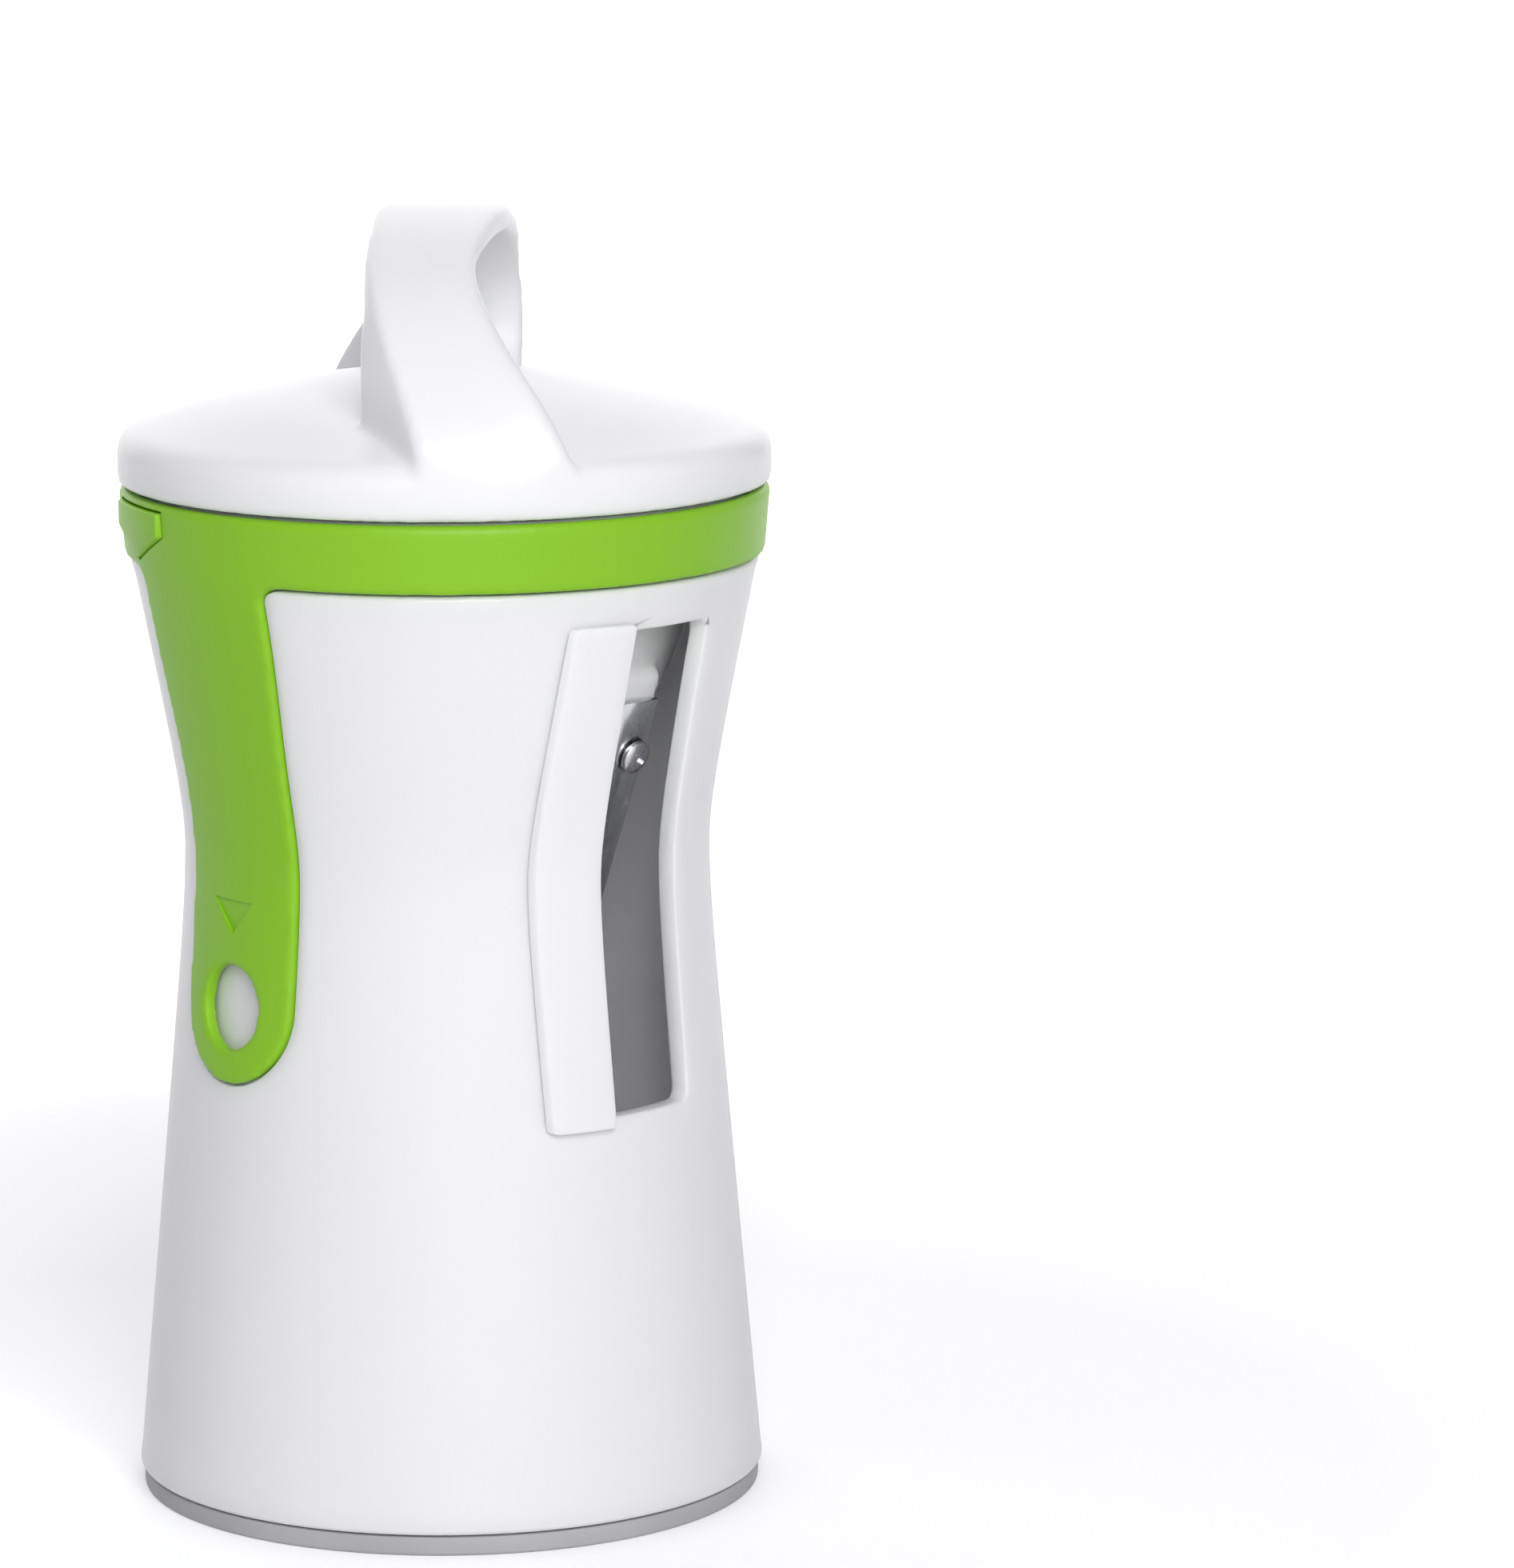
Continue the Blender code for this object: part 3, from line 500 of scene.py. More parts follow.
def makeBladeGuard():
    left = window["left"] - guard["beside"]
    strip = lathe("bladeGuard", skin(window["top"] + past, window["bottom"] - past,
                                     gap + guard["thickness"], gap, guard["rows"]))
    outline = roundedRectangle(left, left + guard["width"], window["bottom"] - guard["overrun"],
                               window["top"] + guard["overrun"], guard["corner"], count=3)
    carve(strip, prism("stripShape", outline, body["cutFrom"], body["cutTo"],
                       sideFrame(window["azimuth"])), "INTERSECT")
    soften(strip, guard["edgeRound"])
    finishPiece(strip, guardPlastic, "holder", ["blade_guard"])


# Foot ring

foot = {
    "inset": 0.5 * mm, "width": 5.0 * mm, "edgeRound": 0.5 * mm,
    "tongueHeight": 4.0 * mm, "tongueWidth": 1.6 * mm,
}


def makeFootRing():
    outer = body["footRadius"] - foot["inset"]
    inner = outer - foot["width"]
    top = body["bottom"] - gap
    tongueTop = body["bottom"] + foot["tongueHeight"]
    tongueOuter = hourglass(tongueTop) - body["wall"] - gap
    tongueInner = tongueOuter - foot["tongueWidth"]
    edge = foot["edgeRound"]
    outline = [(tongueInner, tongueTop), (tongueOuter, tongueTop), (tongueOuter, top)]
    outline += arcPoints(outer - edge / 2, top - edge / 2, edge / 2, 90, 0, count=3)
    outline += arcPoints(outer - edge, edge, edge, 0, -90, count=5)
    outline += arcPoints(inner + edge, edge, edge, -90, -180, count=5)
    outline += [(tongueInner, top)]
    ring = lathe("footRing", outline, turns=180)
    # the ring's grey is painted shade of the body's bottom edge
    finishPiece(ring, shadeGreyFoot, "holder", ["foot_ring"])


# Grip collar with its arm, its two shields and its funnel mouth

collar = {
    "bottom": body["top"] + gap, "height": 8.7 * mm, "flare": 1.4 * mm, "proud": 0.7 * mm,
    "lipRound": 0.9 * mm, "mouthWall": 2.0 * mm, "mouthDepth": 2.9 * mm,
    "throatStep": 5.0 * mm, "throatDrop": 1.0 * mm, "skirtDepth": 5.5 * mm,
    "ledge": 1.6 * mm, "ledgeWidth": 1.4 * mm, "cell": 0.42 * mm, "easing": 5,
}
collar["top"] = collar["bottom"] + collar["height"]
collar["radius"] = body["shoulderRadius"] + collar["flare"]
collar["mouthRadius"] = collar["radius"] - collar["mouthWall"]
collar["throatRadius"] = collar["mouthRadius"] - collar["throatStep"]
collar["ledgeTop"] = collar["bottom"] - collar["skirtDepth"] + collar["ledge"]

arm = {
    "azimuth": -51.8, "halfWidth": 10.3 * mm, "tip": collar["bottom"] - 64.1 * mm,
    "root": 1.2 * mm, "recess": 1.5 * mm, "fillet": 2.4 * mm,
    "leftFlare": 2.2 * mm, "rightFlare": 1.2 * mm, "flareLength": 28.5 * mm, "rows": 60,
    "holeRadius": 5.3 * mm, "holeFromTip": 9.6 * mm,
    "markWidth": 7.8 * mm, "markHeight": 4.4 * mm, "markAboveHole": 13.6 * mm,
    "markDepth": 0.35 * mm,
}
shield = {
    "azimuths": (-70.0, 110.0), "proud": 0.5 * mm, "taper": 0.9 * mm, "root": 1.4 * mm,
    "width": 15.0 * mm, "drop": 1.2 * mm, "sideHeight": 3.0 * mm, "height": 6.4 * mm,
    "edgeRound": 0.25 * mm, "groove": 0.35 * mm, "grooveDepth": 0.9 * mm,
    "keyWidth": 6.0 * mm, "keyReach": 1.2 * mm,
}


def armOutline(margin, top):
    # outline of the arm, across and up, grown by a margin on all sides
    half = arm["halfWidth"] + margin
    fillet = arm["fillet"] - margin
    right = armSide(half, half + arm["rightFlare"], fillet, top)
    left = armSide(half, half + arm["leftFlare"], fillet, top)
    outline = arcPoints(0.0, arm["tip"] + arm["halfWidth"], half, -180, 0, count=36)
    return outline + right + [(-x, y) for x, y in reversed(left)]


def armSide(low, high, fillet, top):
    # one side of the arm, from where it starts to widen up to the collar
    start = collar["bottom"] - arm["flareLength"]
    edge = collar["bottom"] - arm["fillet"]
    side = []
    for share in evenSteps(0.0, 1.0, 12):
        ease = share * share * (3 - 2 * share)
        side.append((low + (high - low) * ease, start + (edge - start) * share))
    side += arcPoints(high + fillet, edge, fillet, 180, 90, count=8)[1:]
    side.append((high + fillet, top))
    return side


def makeCollarRing():
    lip = collar["lipRound"]
    top = collar["top"]
    bottomRadius = hourglass(collar["bottom"]) + collar["proud"]
    skirtBottom = collar["bottom"] - collar["skirtDepth"]
    skirtRadius = hourglass(skirtBottom) - body["wall"] - gap
    ledgeRadius = collar["throatRadius"] - collar["ledgeWidth"]
    throatTop = collar["bottom"] - collar["throatDrop"]
    outline = arcPoints(collar["radius"] - lip, top - lip, lip, 90, 0, count=8)
    outline += [(bottomRadius, collar["bottom"]), (skirtRadius, collar["bottom"]),
                (skirtRadius, skirtBottom), (ledgeRadius, skirtBottom),
                (ledgeRadius, collar["ledgeTop"]), (collar["throatRadius"], collar["ledgeTop"]),
                (collar["throatRadius"], throatTop),
                (collar["mouthRadius"], top - collar["mouthDepth"])]
    outline += arcPoints(collar["mouthRadius"] + lip, top - lip, lip, 180, 90, count=8)
    return lathe("gripCollar", outline)


def shieldOutline(margin):
    half = shield["width"] / 2 + margin
    top = collar["top"] - shield["drop"] + margin
    shoulder = collar["top"] - shield["drop"] - shield["sideHeight"]
    point = collar["top"] - shield["drop"] - shield["height"] - margin
    return [(half, shoulder), (half, top), (-half, top), (-half, shoulder), (0.0, point)]


def makeShield(azimuth):
    top = collar["top"] - shield["drop"]
    shoulder = top - shield["sideHeight"]
    point = top - shield["height"]
    root = collar["radius"] - shield["root"]
    face = collar["radius"] + shield["proud"]
    blank = lathe("shield", [(root, top + gap), (face, top + gap), (face, shoulder),
                             (face - shield["taper"], point - gap), (root, point - gap)])
    carve(blank, prism("shieldShape", shieldOutline(0.0), body["cutFrom"],
                       collar["radius"] + past, sideFrame(azimuth)), "INTERSECT")
    soften(blank, shield["edgeRound"], sharperThan=40)
    return blank


def cutGroove(ring, azimuth):
    # a fine groove round the shield
    floor = collar["radius"] - shield["grooveDepth"]
    clear = collar["radius"] + past
    groove = lathe("groove", [(floor, collar["bottom"]), (clear, collar["bottom"]),
                              (clear, collar["top"]), (floor, collar["top"])])
    carve(groove, prism("grooveShape", shieldOutline(shield["groove"]), body["cutFrom"], clear,
                        sideFrame(azimuth)), "INTERSECT")
    carve(ring, groove)


def makeGripCollar():
    ring = makeCollarRing()
    outline = skin(collar["bottom"], arm["tip"] - past, collar["proud"], gap - arm["recess"],
                   arm["rows"])
    wall = hourglass(collar["bottom"]) + collar["proud"]
    root = collar["bottom"] + arm["root"]
    outline += [(wall - arm["recess"], root), (wall, root)]
    blank = lathe("arm", outline)
    carve(blank, prism("armShape", armOutline(0.0, collar["bottom"] + past / 2),
                       body["cutFrom"], body["cutTo"], sideFrame(arm["azimuth"])), "INTERSECT")
    carve(ring, blank, "UNION")
    holeHeight = arm["tip"] + arm["holeFromTip"]
    carve(ring, rod("hangHole", arm["holeRadius"], body["cutFrom"], body["cutTo"],
                    sideFrame(arm["azimuth"], holeHeight), sides=64))
    fuse(ring, collar["cell"], collar["easing"])

    for azimuth in shield["azimuths"]:
        cutGroove(ring, azimuth)
        carve(ring, makeShield(azimuth), "UNION")
        half = shield["keyWidth"] / 2 + gap
        reach = collar["throatRadius"] - dropInGap + shield["keyReach"] + gap
        carve(ring, box("keySlot", (-half, half),
                        (collar["ledgeTop"], collar["top"] - collar["mouthDepth"]),
                        (collar["throatRadius"] - collar["ledgeWidth"], reach),
                        sideFrame(azimuth)))
    markTop = holeHeight + arm["markAboveHole"]
    markFloor = hourglass(markTop) + collar["proud"] - arm["markDepth"]
    corners = [(arm["markWidth"] / 2, markTop), (-arm["markWidth"] / 2, markTop),
               (0.0, markTop - arm["markHeight"])]
    carve(ring, prism("mark", corners, markFloor, markFloor + past, sideFrame(arm["azimuth"])))
    finishPiece(ring, greenGrip, "holder", ["grip_collar"])


# Turning cap with its twisted handle

cap = {
    "bottom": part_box("turning_cap")[0].z, "radius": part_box("turning_cap")[1].x,
    "sideHeight": 4.4 * mm, "edgeWidth": 6.2 * mm, "edgeHeight": 3.9 * mm,
    "domeRise": 5.6 * mm, "wall": 2.6 * mm, "rimWidth": 6.8 * mm, "rimRoll": 2.4 * mm,
    "turns": 180, "domeSteps": 24, "rimSteps": 10, "insideSteps": 8,
    "handleSpans": 6, "handleRoom": 60.0 * mm, "cell": 0.48 * mm, "handleEasing": 6, "easing": 7,
    "bosses": 3, "bossRadius": 3.2 * mm, "bossCircle": 25.0 * mm, "bossHole": 1.5 * mm,
    "bossDepth": 6.3 * mm,
}

# Stations of the handle from its front foot to its crown, in millimetres: the outer surface's
# y, height above the cap's underside, centre x and width, the same of the inner surface, and
# the section's turn in degrees
handleStations = [
    (-40.8, 2.6, 7.9, 20.2, -24.6, 8.6, -1.4, 18.6, 12.0),
    (-39.9, 8.2, 6.1, 18.9, -25.0, 12.8, -1.9, 17.8, 10.0),
    (-37.4, 14.0, 3.8, 17.3, -26.0, 17.0, -2.6, 16.6, 7.0),
    (-33.8, 19.7, 0.9, 15.5, -25.6, 20.8, -3.0, 15.4, 4.0),
    (-28.0, 25.4, -1.6, 14.0, -22.9, 24.5, -3.2, 14.2, 0.0),
    (-20.5, 30.0, -2.8, 13.4, -17.6, 27.9, -2.9, 13.8, -4.0),
    (-10.8, 33.3, -1.6, 14.8, -9.8, 30.2, -1.6, 14.8, -7.0),
    (0.0, 34.6, 0.0, 16.2, 0.0, 31.2, 0.0, 16.2, -8.0),
]


def smoothBetween(values, share):
    # a value between the second and the third of four, on a smooth curve through all of them
    a, b, c, d = values
    return 0.5 * ((2 * b) + (c - a) * share + (2 * a - 5 * b + 4 * c - d) * share ** 2
                  + (3 * b - a - 3 * c + d) * share ** 3)


def handleSections(spans):
    # corners of the strap's section, from the front foot over the crown to the back foot
    back = [(-s[0], s[1], -s[2], s[3], -s[4], s[5], -s[6], s[7], s[8])
            for s in reversed(handleStations[:-1])]
    stations = handleStations + back
    ends = [stations[0]] + stations + [stations[-1]]
    rows = []
    for i in range(len(stations) - 1):
        for k in range(spans):
            rows.append([smoothBetween(values, k / spans) for values in zip(*ends[i:i + 4])])
    rows.append(stations[-1])
    sections = []
    for outY, outZ, outX, outWidth, inY, inZ, inX, inWidth, turn in rows:
        side = across(turn)
        outer = Vector((outX, outY, outZ))
        inner = Vector((inX, inY, inZ))
        corners = [outer - side * outWidth / 2, outer + side * outWidth / 2,
                   inner + side * inWidth / 2, inner - side * inWidth / 2]
        sections.append([corner * mm + Vector((0, 0, cap["bottom"])) for corner in corners])
    return sections


def makeHandle():
    # a square face, extruded once for each section, whose corners then move to their places
    bpy.ops.object.select_all(action="DESELECT")
    bpy.ops.mesh.primitive_plane_add(size=mm)
    handle = bpy.context.object
    handle.name = "handle"
    editAll(handle)
    work = bmesh.from_edit_mesh(handle.data)
    before = [work.verts[:][i].co.copy() for i in (0, 1, 3, 2)]
    for number, section in enumerate(handleSections(cap["handleSpans"])):
        if number:
            bpy.ops.mesh.extrude_region_move()
        for old, corner in zip(before, section):
            work = bmesh.from_edit_mesh(handle.data)
            work.select_flush_mode()
            face = [vertex for vertex in work.verts if vertex.select]
            moved = min(face, key=lambda vertex: (vertex.co - old).length)
            moved.co = corner
        bmesh.update_edit_mesh(handle.data)
        before = section
    tidySurface()
    fuse(handle, cap["cell"], cap["handleEasing"])
    return handle


def domeHeight(radius):
    reach = cap["radius"] - cap["edgeWidth"]
    return cap["sideHeight"] + cap["edgeHeight"] + cap["domeRise"] * (1 - (radius / reach) ** 2)


def rimCurve():
    # rolls the dome over its rim: a curve from the dome's slope to the upright side
    start = cap["radius"] - cap["rimRoll"]
    startHeight = domeHeight(start)
    fall = (domeHeight(start + cap["cell"]) - startHeight) / cap["cell"]
    corner = startHeight + fall * cap["rimRoll"]
    radii = (start, cap["radius"], cap["radius"])
    heights = (startHeight, corner, corner - cap["rimRoll"])
    points = []
    for share in evenSteps(0.0, 1.0, cap["rimSteps"]):
        weights = ((1 - share) ** 2, 2 * share * (1 - share), share ** 2)
        points.append((sum(w * r for w, r in zip(weights, radii)),
                       sum(w * h for w, h in zip(weights, heights))))
    return points


def bossSpots():
    # the cap's bosses, and the screws that go into them through the spike plate
    azimuths = [90 + 360 * i / cap["bosses"] for i in range(cap["bosses"])]
    return [outward(azimuth) * cap["bossCircle"] for azimuth in azimuths]


def makeTurningCap():
    low = cap["bottom"]
    rim = rimCurve()
    outline = [(radius, low + domeHeight(radius))
               for radius in evenSteps(0.0, rim[0][0], cap["domeSteps"])[:-1]]
    outline += [(radius, low + height) for radius, height in rim]
    innerReach = cap["radius"] - cap["rimWidth"]
    outline += [(cap["radius"], low), (innerReach, low)]
    outline += [(radius, low + domeHeight(radius) - cap["wall"])
                for radius in reversed(evenSteps(0.0, innerReach, cap["insideSteps"]))]
    item = lathe("turningCap", outline, cap["turns"], closed=False)

    # the feet of the handle end flush with the cap's side
    handle = makeHandle()
    roof = low + cap["handleRoom"]
    carve(handle, lathe("room", [(0.0, low), (cap["radius"], low), (cap["radius"], roof),
                                 (0.0, roof)], cap["turns"], closed=False), "INTERSECT")
    carve(item, handle, "UNION")
    fuse(item, cap["cell"], cap["easing"])
    for spot in bossSpots():
        place = Matrix.Translation(spot + Vector((0, 0, low)))
        carve(item, rod("boss", cap["bossRadius"], 0.0,
                        domeHeight(cap["bossCircle"]) - cap["wall"] / 2, place), "UNION")
        carve(item, rod("bossHole", cap["bossHole"], -past, cap["bossDepth"], place, sides=24))
    finishPiece(item, whitePlastic, "cap", ["turning_cap"])


# Cutting cone, with the seats for its blade and comb

cone = {
    "rimWidth": 3.0 * mm, "wall": 1.8 * mm, "depth": 61.6 * mm, "coreRadius": 8.0 * mm,
    "tubeLength": 5.0 * mm, "flangeThickness": 1.7 * mm, "cell": 0.54 * mm, "easing": 4,
}
cone["flangeRadius"] = collar["throatRadius"] - dropInGap
cone["flangeBottom"] = collar["ledgeTop"] + gap
cone["top"] = cone["flangeBottom"] + cone["flangeThickness"]
cone["topRadius"] = collar["throatRadius"] - cone["rimWidth"]
cone["bottom"] = cone["top"] - cone["depth"]
cone["slope"] = (cone["topRadius"] - cone["coreRadius"]) / cone["depth"]
slot = {
    "azimuth": 45.0, "aboveBottom": 27.0 * mm, "low": -24.0 * mm, "high": 22.0 * mm,
    "left": -3.2 * mm, "right": 3.8 * mm, "padMargin": 3.0 * mm, "padRoot": 7.0 * mm,
    "bladePadLeft": -10.4 * mm, "bladePadHeight": 3.4 * mm,
    "combPadRight": 9.8 * mm, "combPadHeight": 2.0 * mm,
}
blade = {
    "tilt": 15.0, "width": 9.4 * mm, "thickness": 0.7 * mm, "bevel": 1.8 * mm,
    "edgeDepth": 0.5 * mm, "edgeRound": 0.06 * mm,
}
comb = {
    "thickness": 0.6 * mm, "flangeWidth": 6.2 * mm, "pitch": 4.5 * mm, "toothWidth": 1.8 * mm,
    "tip": 0.9 * mm, "reach": 2.2 * mm, "root": 0.6 * mm, "edgeRound": 0.06 * mm,
}
screw = {
    "spacing": 28.0 * mm, "fromEdge": 6.5 * mm, "headRadius": 2.2 * mm, "headHeight": 1.0 * mm,
    "shankRadius": 1.15 * mm, "bite": 1.7 * mm, "holeDepth": 5.0 * mm,
    "crossLength": 2.4 * mm, "crossWidth": 0.55 * mm, "crossDepth": 0.6 * mm, "turn": 37,
}
screw["length"] = blade["thickness"] + gap + screw["bite"]
domedShare = 0.65  # of the height of a screw's head
tipShare = 0.4  # of the width of its shank


def coneRadius(height):
    return cone["coreRadius"] + cone["slope"] * (height - cone["bottom"])


def makeSlotFrame():
    # X runs across the slot, Y up the cone's side and Z out of it
    lean = atan(cone["slope"])
    middle = cone["bottom"] + slot["aboveBottom"]
    upright = Vector((0, 0, 1))
    along = outward(slot["azimuth"]) * sin(lean) + upright * cos(lean)
    out = outward(slot["azimuth"]) * cos(lean) - upright * sin(lean)
    origin = outward(slot["azimuth"]) * coneRadius(middle) + upright * middle
    return frameOf(across(slot["azimuth"]), along, out, origin)


slotFrame = makeSlotFrame()
bladeFrame = (slotFrame @ Matrix.Translation((0, 0, -blade["edgeDepth"]))
              @ Matrix.Rotation(radians(blade["tilt"]), 4, "Y"))
quarterTurn = Matrix.Rotation(pi / 2, 4, "X")
combLeft = slot["right"] - gap - comb["thickness"]
combSeat = slot["combPadHeight"] + gap


def screwHolders():
    # frames under the four screw heads: two on the blade, two on the comb
    combScrew = combLeft + comb["flangeWidth"] / 2 + screw["shankRadius"]
    sides = (-screw["spacing"] / 2, screw["spacing"] / 2)
    holders = [bladeFrame @ Matrix.Translation((-screw["fromEdge"], side, blade["thickness"]))
               for side in sides]
    holders += [slotFrame @ Matrix.Translation((combScrew, side, combSeat + comb["thickness"]))
                for side in sides]
    return holders


def makeCuttingCone():
    wall = cone["wall"] / cos(atan(cone["slope"]))
    tubeBottom = cone["bottom"] - cone["tubeLength"]
    core = cone["coreRadius"]
    item = lathe("cuttingCone", [
        (cone["topRadius"], cone["top"]), (cone["flangeRadius"], cone["top"]),
        (cone["flangeRadius"], cone["flangeBottom"]),
        (coneRadius(cone["flangeBottom"]) + wall, cone["flangeBottom"]),
        (core + wall, cone["bottom"]), (core + wall, tubeBottom), (core, tubeBottom),
        (core, cone["bottom"])])
    padSpan = (slot["low"] - slot["padMargin"], slot["high"] + slot["padMargin"])
    carve(item, box("bladePad", (slot["bladePadLeft"], slot["left"] + gap), padSpan,
                    (-slot["padRoot"], slot["bladePadHeight"]), slotFrame), "UNION")
    carve(item, box("combPad", (slot["right"] - gap, slot["combPadRight"]), padSpan,
                    (-slot["padRoot"], slot["combPadHeight"]), slotFrame), "UNION")
    for azimuth in shield["azimuths"]:
        half = shield["keyWidth"] / 2
        carve(item, box("key", (-half, half), (cone["flangeBottom"], cone["top"]),
                        (cone["topRadius"] + gap, cone["flangeRadius"] + shield["keyReach"]),
                        sideFrame(azimuth)), "UNION")
    carve(item, lathe("bore", [
        (0.0, cone["top"] + past), (cone["topRadius"], cone["top"] + past),
        (cone["topRadius"], cone["top"]), (core, cone["bottom"]), (core, tubeBottom - past),
        (0.0, tubeBottom - past)], closed=False))
    carve(item, box("slotCutter", (slot["left"], slot["right"]), (slot["low"], slot["high"]),
                    (-past, past), slotFrame))
    # the blade's tilted seat, from well past its pad to the middle of the slot
    carve(item, box("bladeSeat", (2 * slot["bladePadLeft"], slot["right"] / 2),
                    (slot["low"] - gap, slot["high"] + gap), (-gap, past), bladeFrame))
    for holder in screwHolders():
        carve(item, rod("screwHole", screw["shankRadius"] + gap, -screw["holeDepth"], past, holder,
                        sides=24))
    fuse(item, cone["cell"], cone["easing"])
    finishPiece(item, whitePlastic, "cutter", ["cutting_cone"])


def makeSlicingBlade():
    section = [(-blade["width"], 0.0), (0.0, 0.0), (-blade["bevel"], blade["thickness"]),
               (-blade["width"], blade["thickness"])]
    item = prism("slicingBlade", section, -slot["high"], -slot["low"], bladeFrame @ quarterTurn)
    for holder in screwHolders()[:2]:
        carve(item, rod("bladeHole", screw["shankRadius"] + gap, -past, past, holder, sides=32))
    soften(item, blade["edgeRound"], sharperThan=40, segments=2)
    finishPiece(item, bladeSteel, "cutter", ["slicing_blade"])


def makeJulienneComb():
    top = combSeat + comb["thickness"]
    right = combLeft + comb["thickness"]
    angle = [(combLeft, top), (combLeft, -comb["reach"]), (right, -comb["reach"]),
             (right, combSeat), (combLeft + comb["flangeWidth"], combSeat),
             (combLeft + comb["flangeWidth"], top)]
    low = slot["low"] + gap
    high = slot["high"] - gap
    item = prism("julienneComb", angle, -high, -low, slotFrame @ quarterTurn)

    # everything below the roots of the teeth goes, less the teeth
    tip = -comb["reach"] - comb["tip"]
    gullets = [(high + past, comb["root"]), (high + past, tip - gap),
               (low - past, tip - gap), (low - past, comb["root"])]
    tooth = low + comb["pitch"] / 2
    while tooth < high - comb["toothWidth"] / 2:
        gullets += [(tooth - comb["toothWidth"] / 2, comb["root"]), (tooth - comb["tip"] / 2, tip),
                    (tooth + comb["tip"] / 2, tip), (tooth + comb["toothWidth"] / 2, comb["root"])]
        tooth += comb["pitch"]
    upright = slotFrame @ frameOf(Vector((0, 1, 0)), Vector((0, 0, 1)), Vector((1, 0, 0)))
    carve(item, prism("notches", gullets, combLeft - gap, right + gap, upright))
    for holder in screwHolders()[2:]:
        carve(item, rod("combHole", screw["shankRadius"] + gap, -past, past, holder, sides=32))
    soften(item, comb["edgeRound"], sharperThan=40, segments=2)
    finishPiece(item, bladeSteel, "cutter", ["julienne_comb"])


def makeScrew(name, form):
    # a domed head with a cross recess, its underside at height zero
    head, shank, length = form["headRadius"], form["shankRadius"], form["length"]
    dome = [(head * sin(a), form["headHeight"] * (1 - domedShare + domedShare * cos(a)))
            for a in [radians(degrees) for degrees in evenSteps(0, 90, 9)]]
    outline = dome + [(head, 0.0), (shank, 0.0), (shank, shank - length),
                      (shank * tipShare, -length), (0.0, -length)]
    item = lathe(name, outline, turns=40, closed=False)
    halfLength = form["crossLength"] / 2
    halfWidth = form["crossWidth"] / 2
    floor = form["headHeight"] - form["crossDepth"]
    for turn in (0.0, pi / 2):
        carve(item, box("cross", (-halfLength, halfLength), (-halfWidth, halfWidth),
                        (floor, past), Matrix.Rotation(turn, 4, "Z")))
    return item


def makeBladeScrews():
    first = makeScrew("screwPattern", screw)
    for number, holder in enumerate(screwHolders(), start=1):
        turn = Matrix.Rotation(radians(screw["turn"] * number), 4, "Z")
        item = copyOf(first, f"bladeScrew{number}",
                      holder @ Matrix.Translation((0, 0, gap)) @ turn)
        finishPiece(item, screwSteel, "cutter", [f"blade_screw_{number}"])
    bpy.data.objects.remove(first)


# Step ring under the cap, spike plate and spikes

seat = {
    "width": 3.7 * mm, "height": 2.4 * mm, "edgeRound": 0.3 * mm,
    "flangeWidth": 1.8 * mm, "flangeHeight": 0.8 * mm,
}
seat["radius"] = collar["mouthRadius"] - dropInGap
seat["top"] = cap["bottom"] - gap
seat["bottom"] = seat["top"] - seat["height"]
plate = {
    "radius": seat["radius"] - seat["width"], "edgeRound": 0.2 * mm, "dishDepth": 0.6 * mm,
    "dishOuter": 1.8 * mm, "dishInner": 4.8 * mm, "hubMargin": 3.0 * mm,
}
plateScrew = {
    "headRadius": 2.5 * mm, "headHeight": 1.1 * mm, "shankRadius": 1.2 * mm, "length": 6.0 * mm,
    "crossLength": 2.8 * mm, "crossWidth": 0.6 * mm, "crossDepth": 0.7 * mm, "turn": 29,
}
spike = {
    "count": 6, "circle": 11.0 * mm, "radius": 1.1 * mm, "length": 11.0 * mm,
    "centreLength": 14.0 * mm, "straightShare": 0.55, "bulge": 0.9, "pointSteps": 8,
    "headRadius": 2.0 * mm, "headHeight": 0.9 * mm, "headTopShare": 0.85, "headEdgeShare": 0.7,
}


def spikeSpots():
    spots = [Vector((0, 0, 0))]
    return spots + [outward(360 * i / spike["count"]) * spike["circle"]
                    for i in range(spike["count"])]


def makeSeatRing():
    step = seat["bottom"] + seat["flangeHeight"] + gap
    inner = plate["radius"] + gap
    lowerInner = inner + seat["flangeWidth"]
    item = lathe("capSeatRing", [
        (inner, seat["top"]), (seat["radius"], seat["top"]), (seat["radius"], seat["bottom"]),
        (lowerInner, seat["bottom"]), (lowerInner, step), (inner, step)], turns=180)
    soften(item, seat["edgeRound"])
    # the step ring's grey is painted shade from under the cap's rim
    finishPiece(item, underCapShadeGrey, "cap_seat", ["cap_seat_ring"])


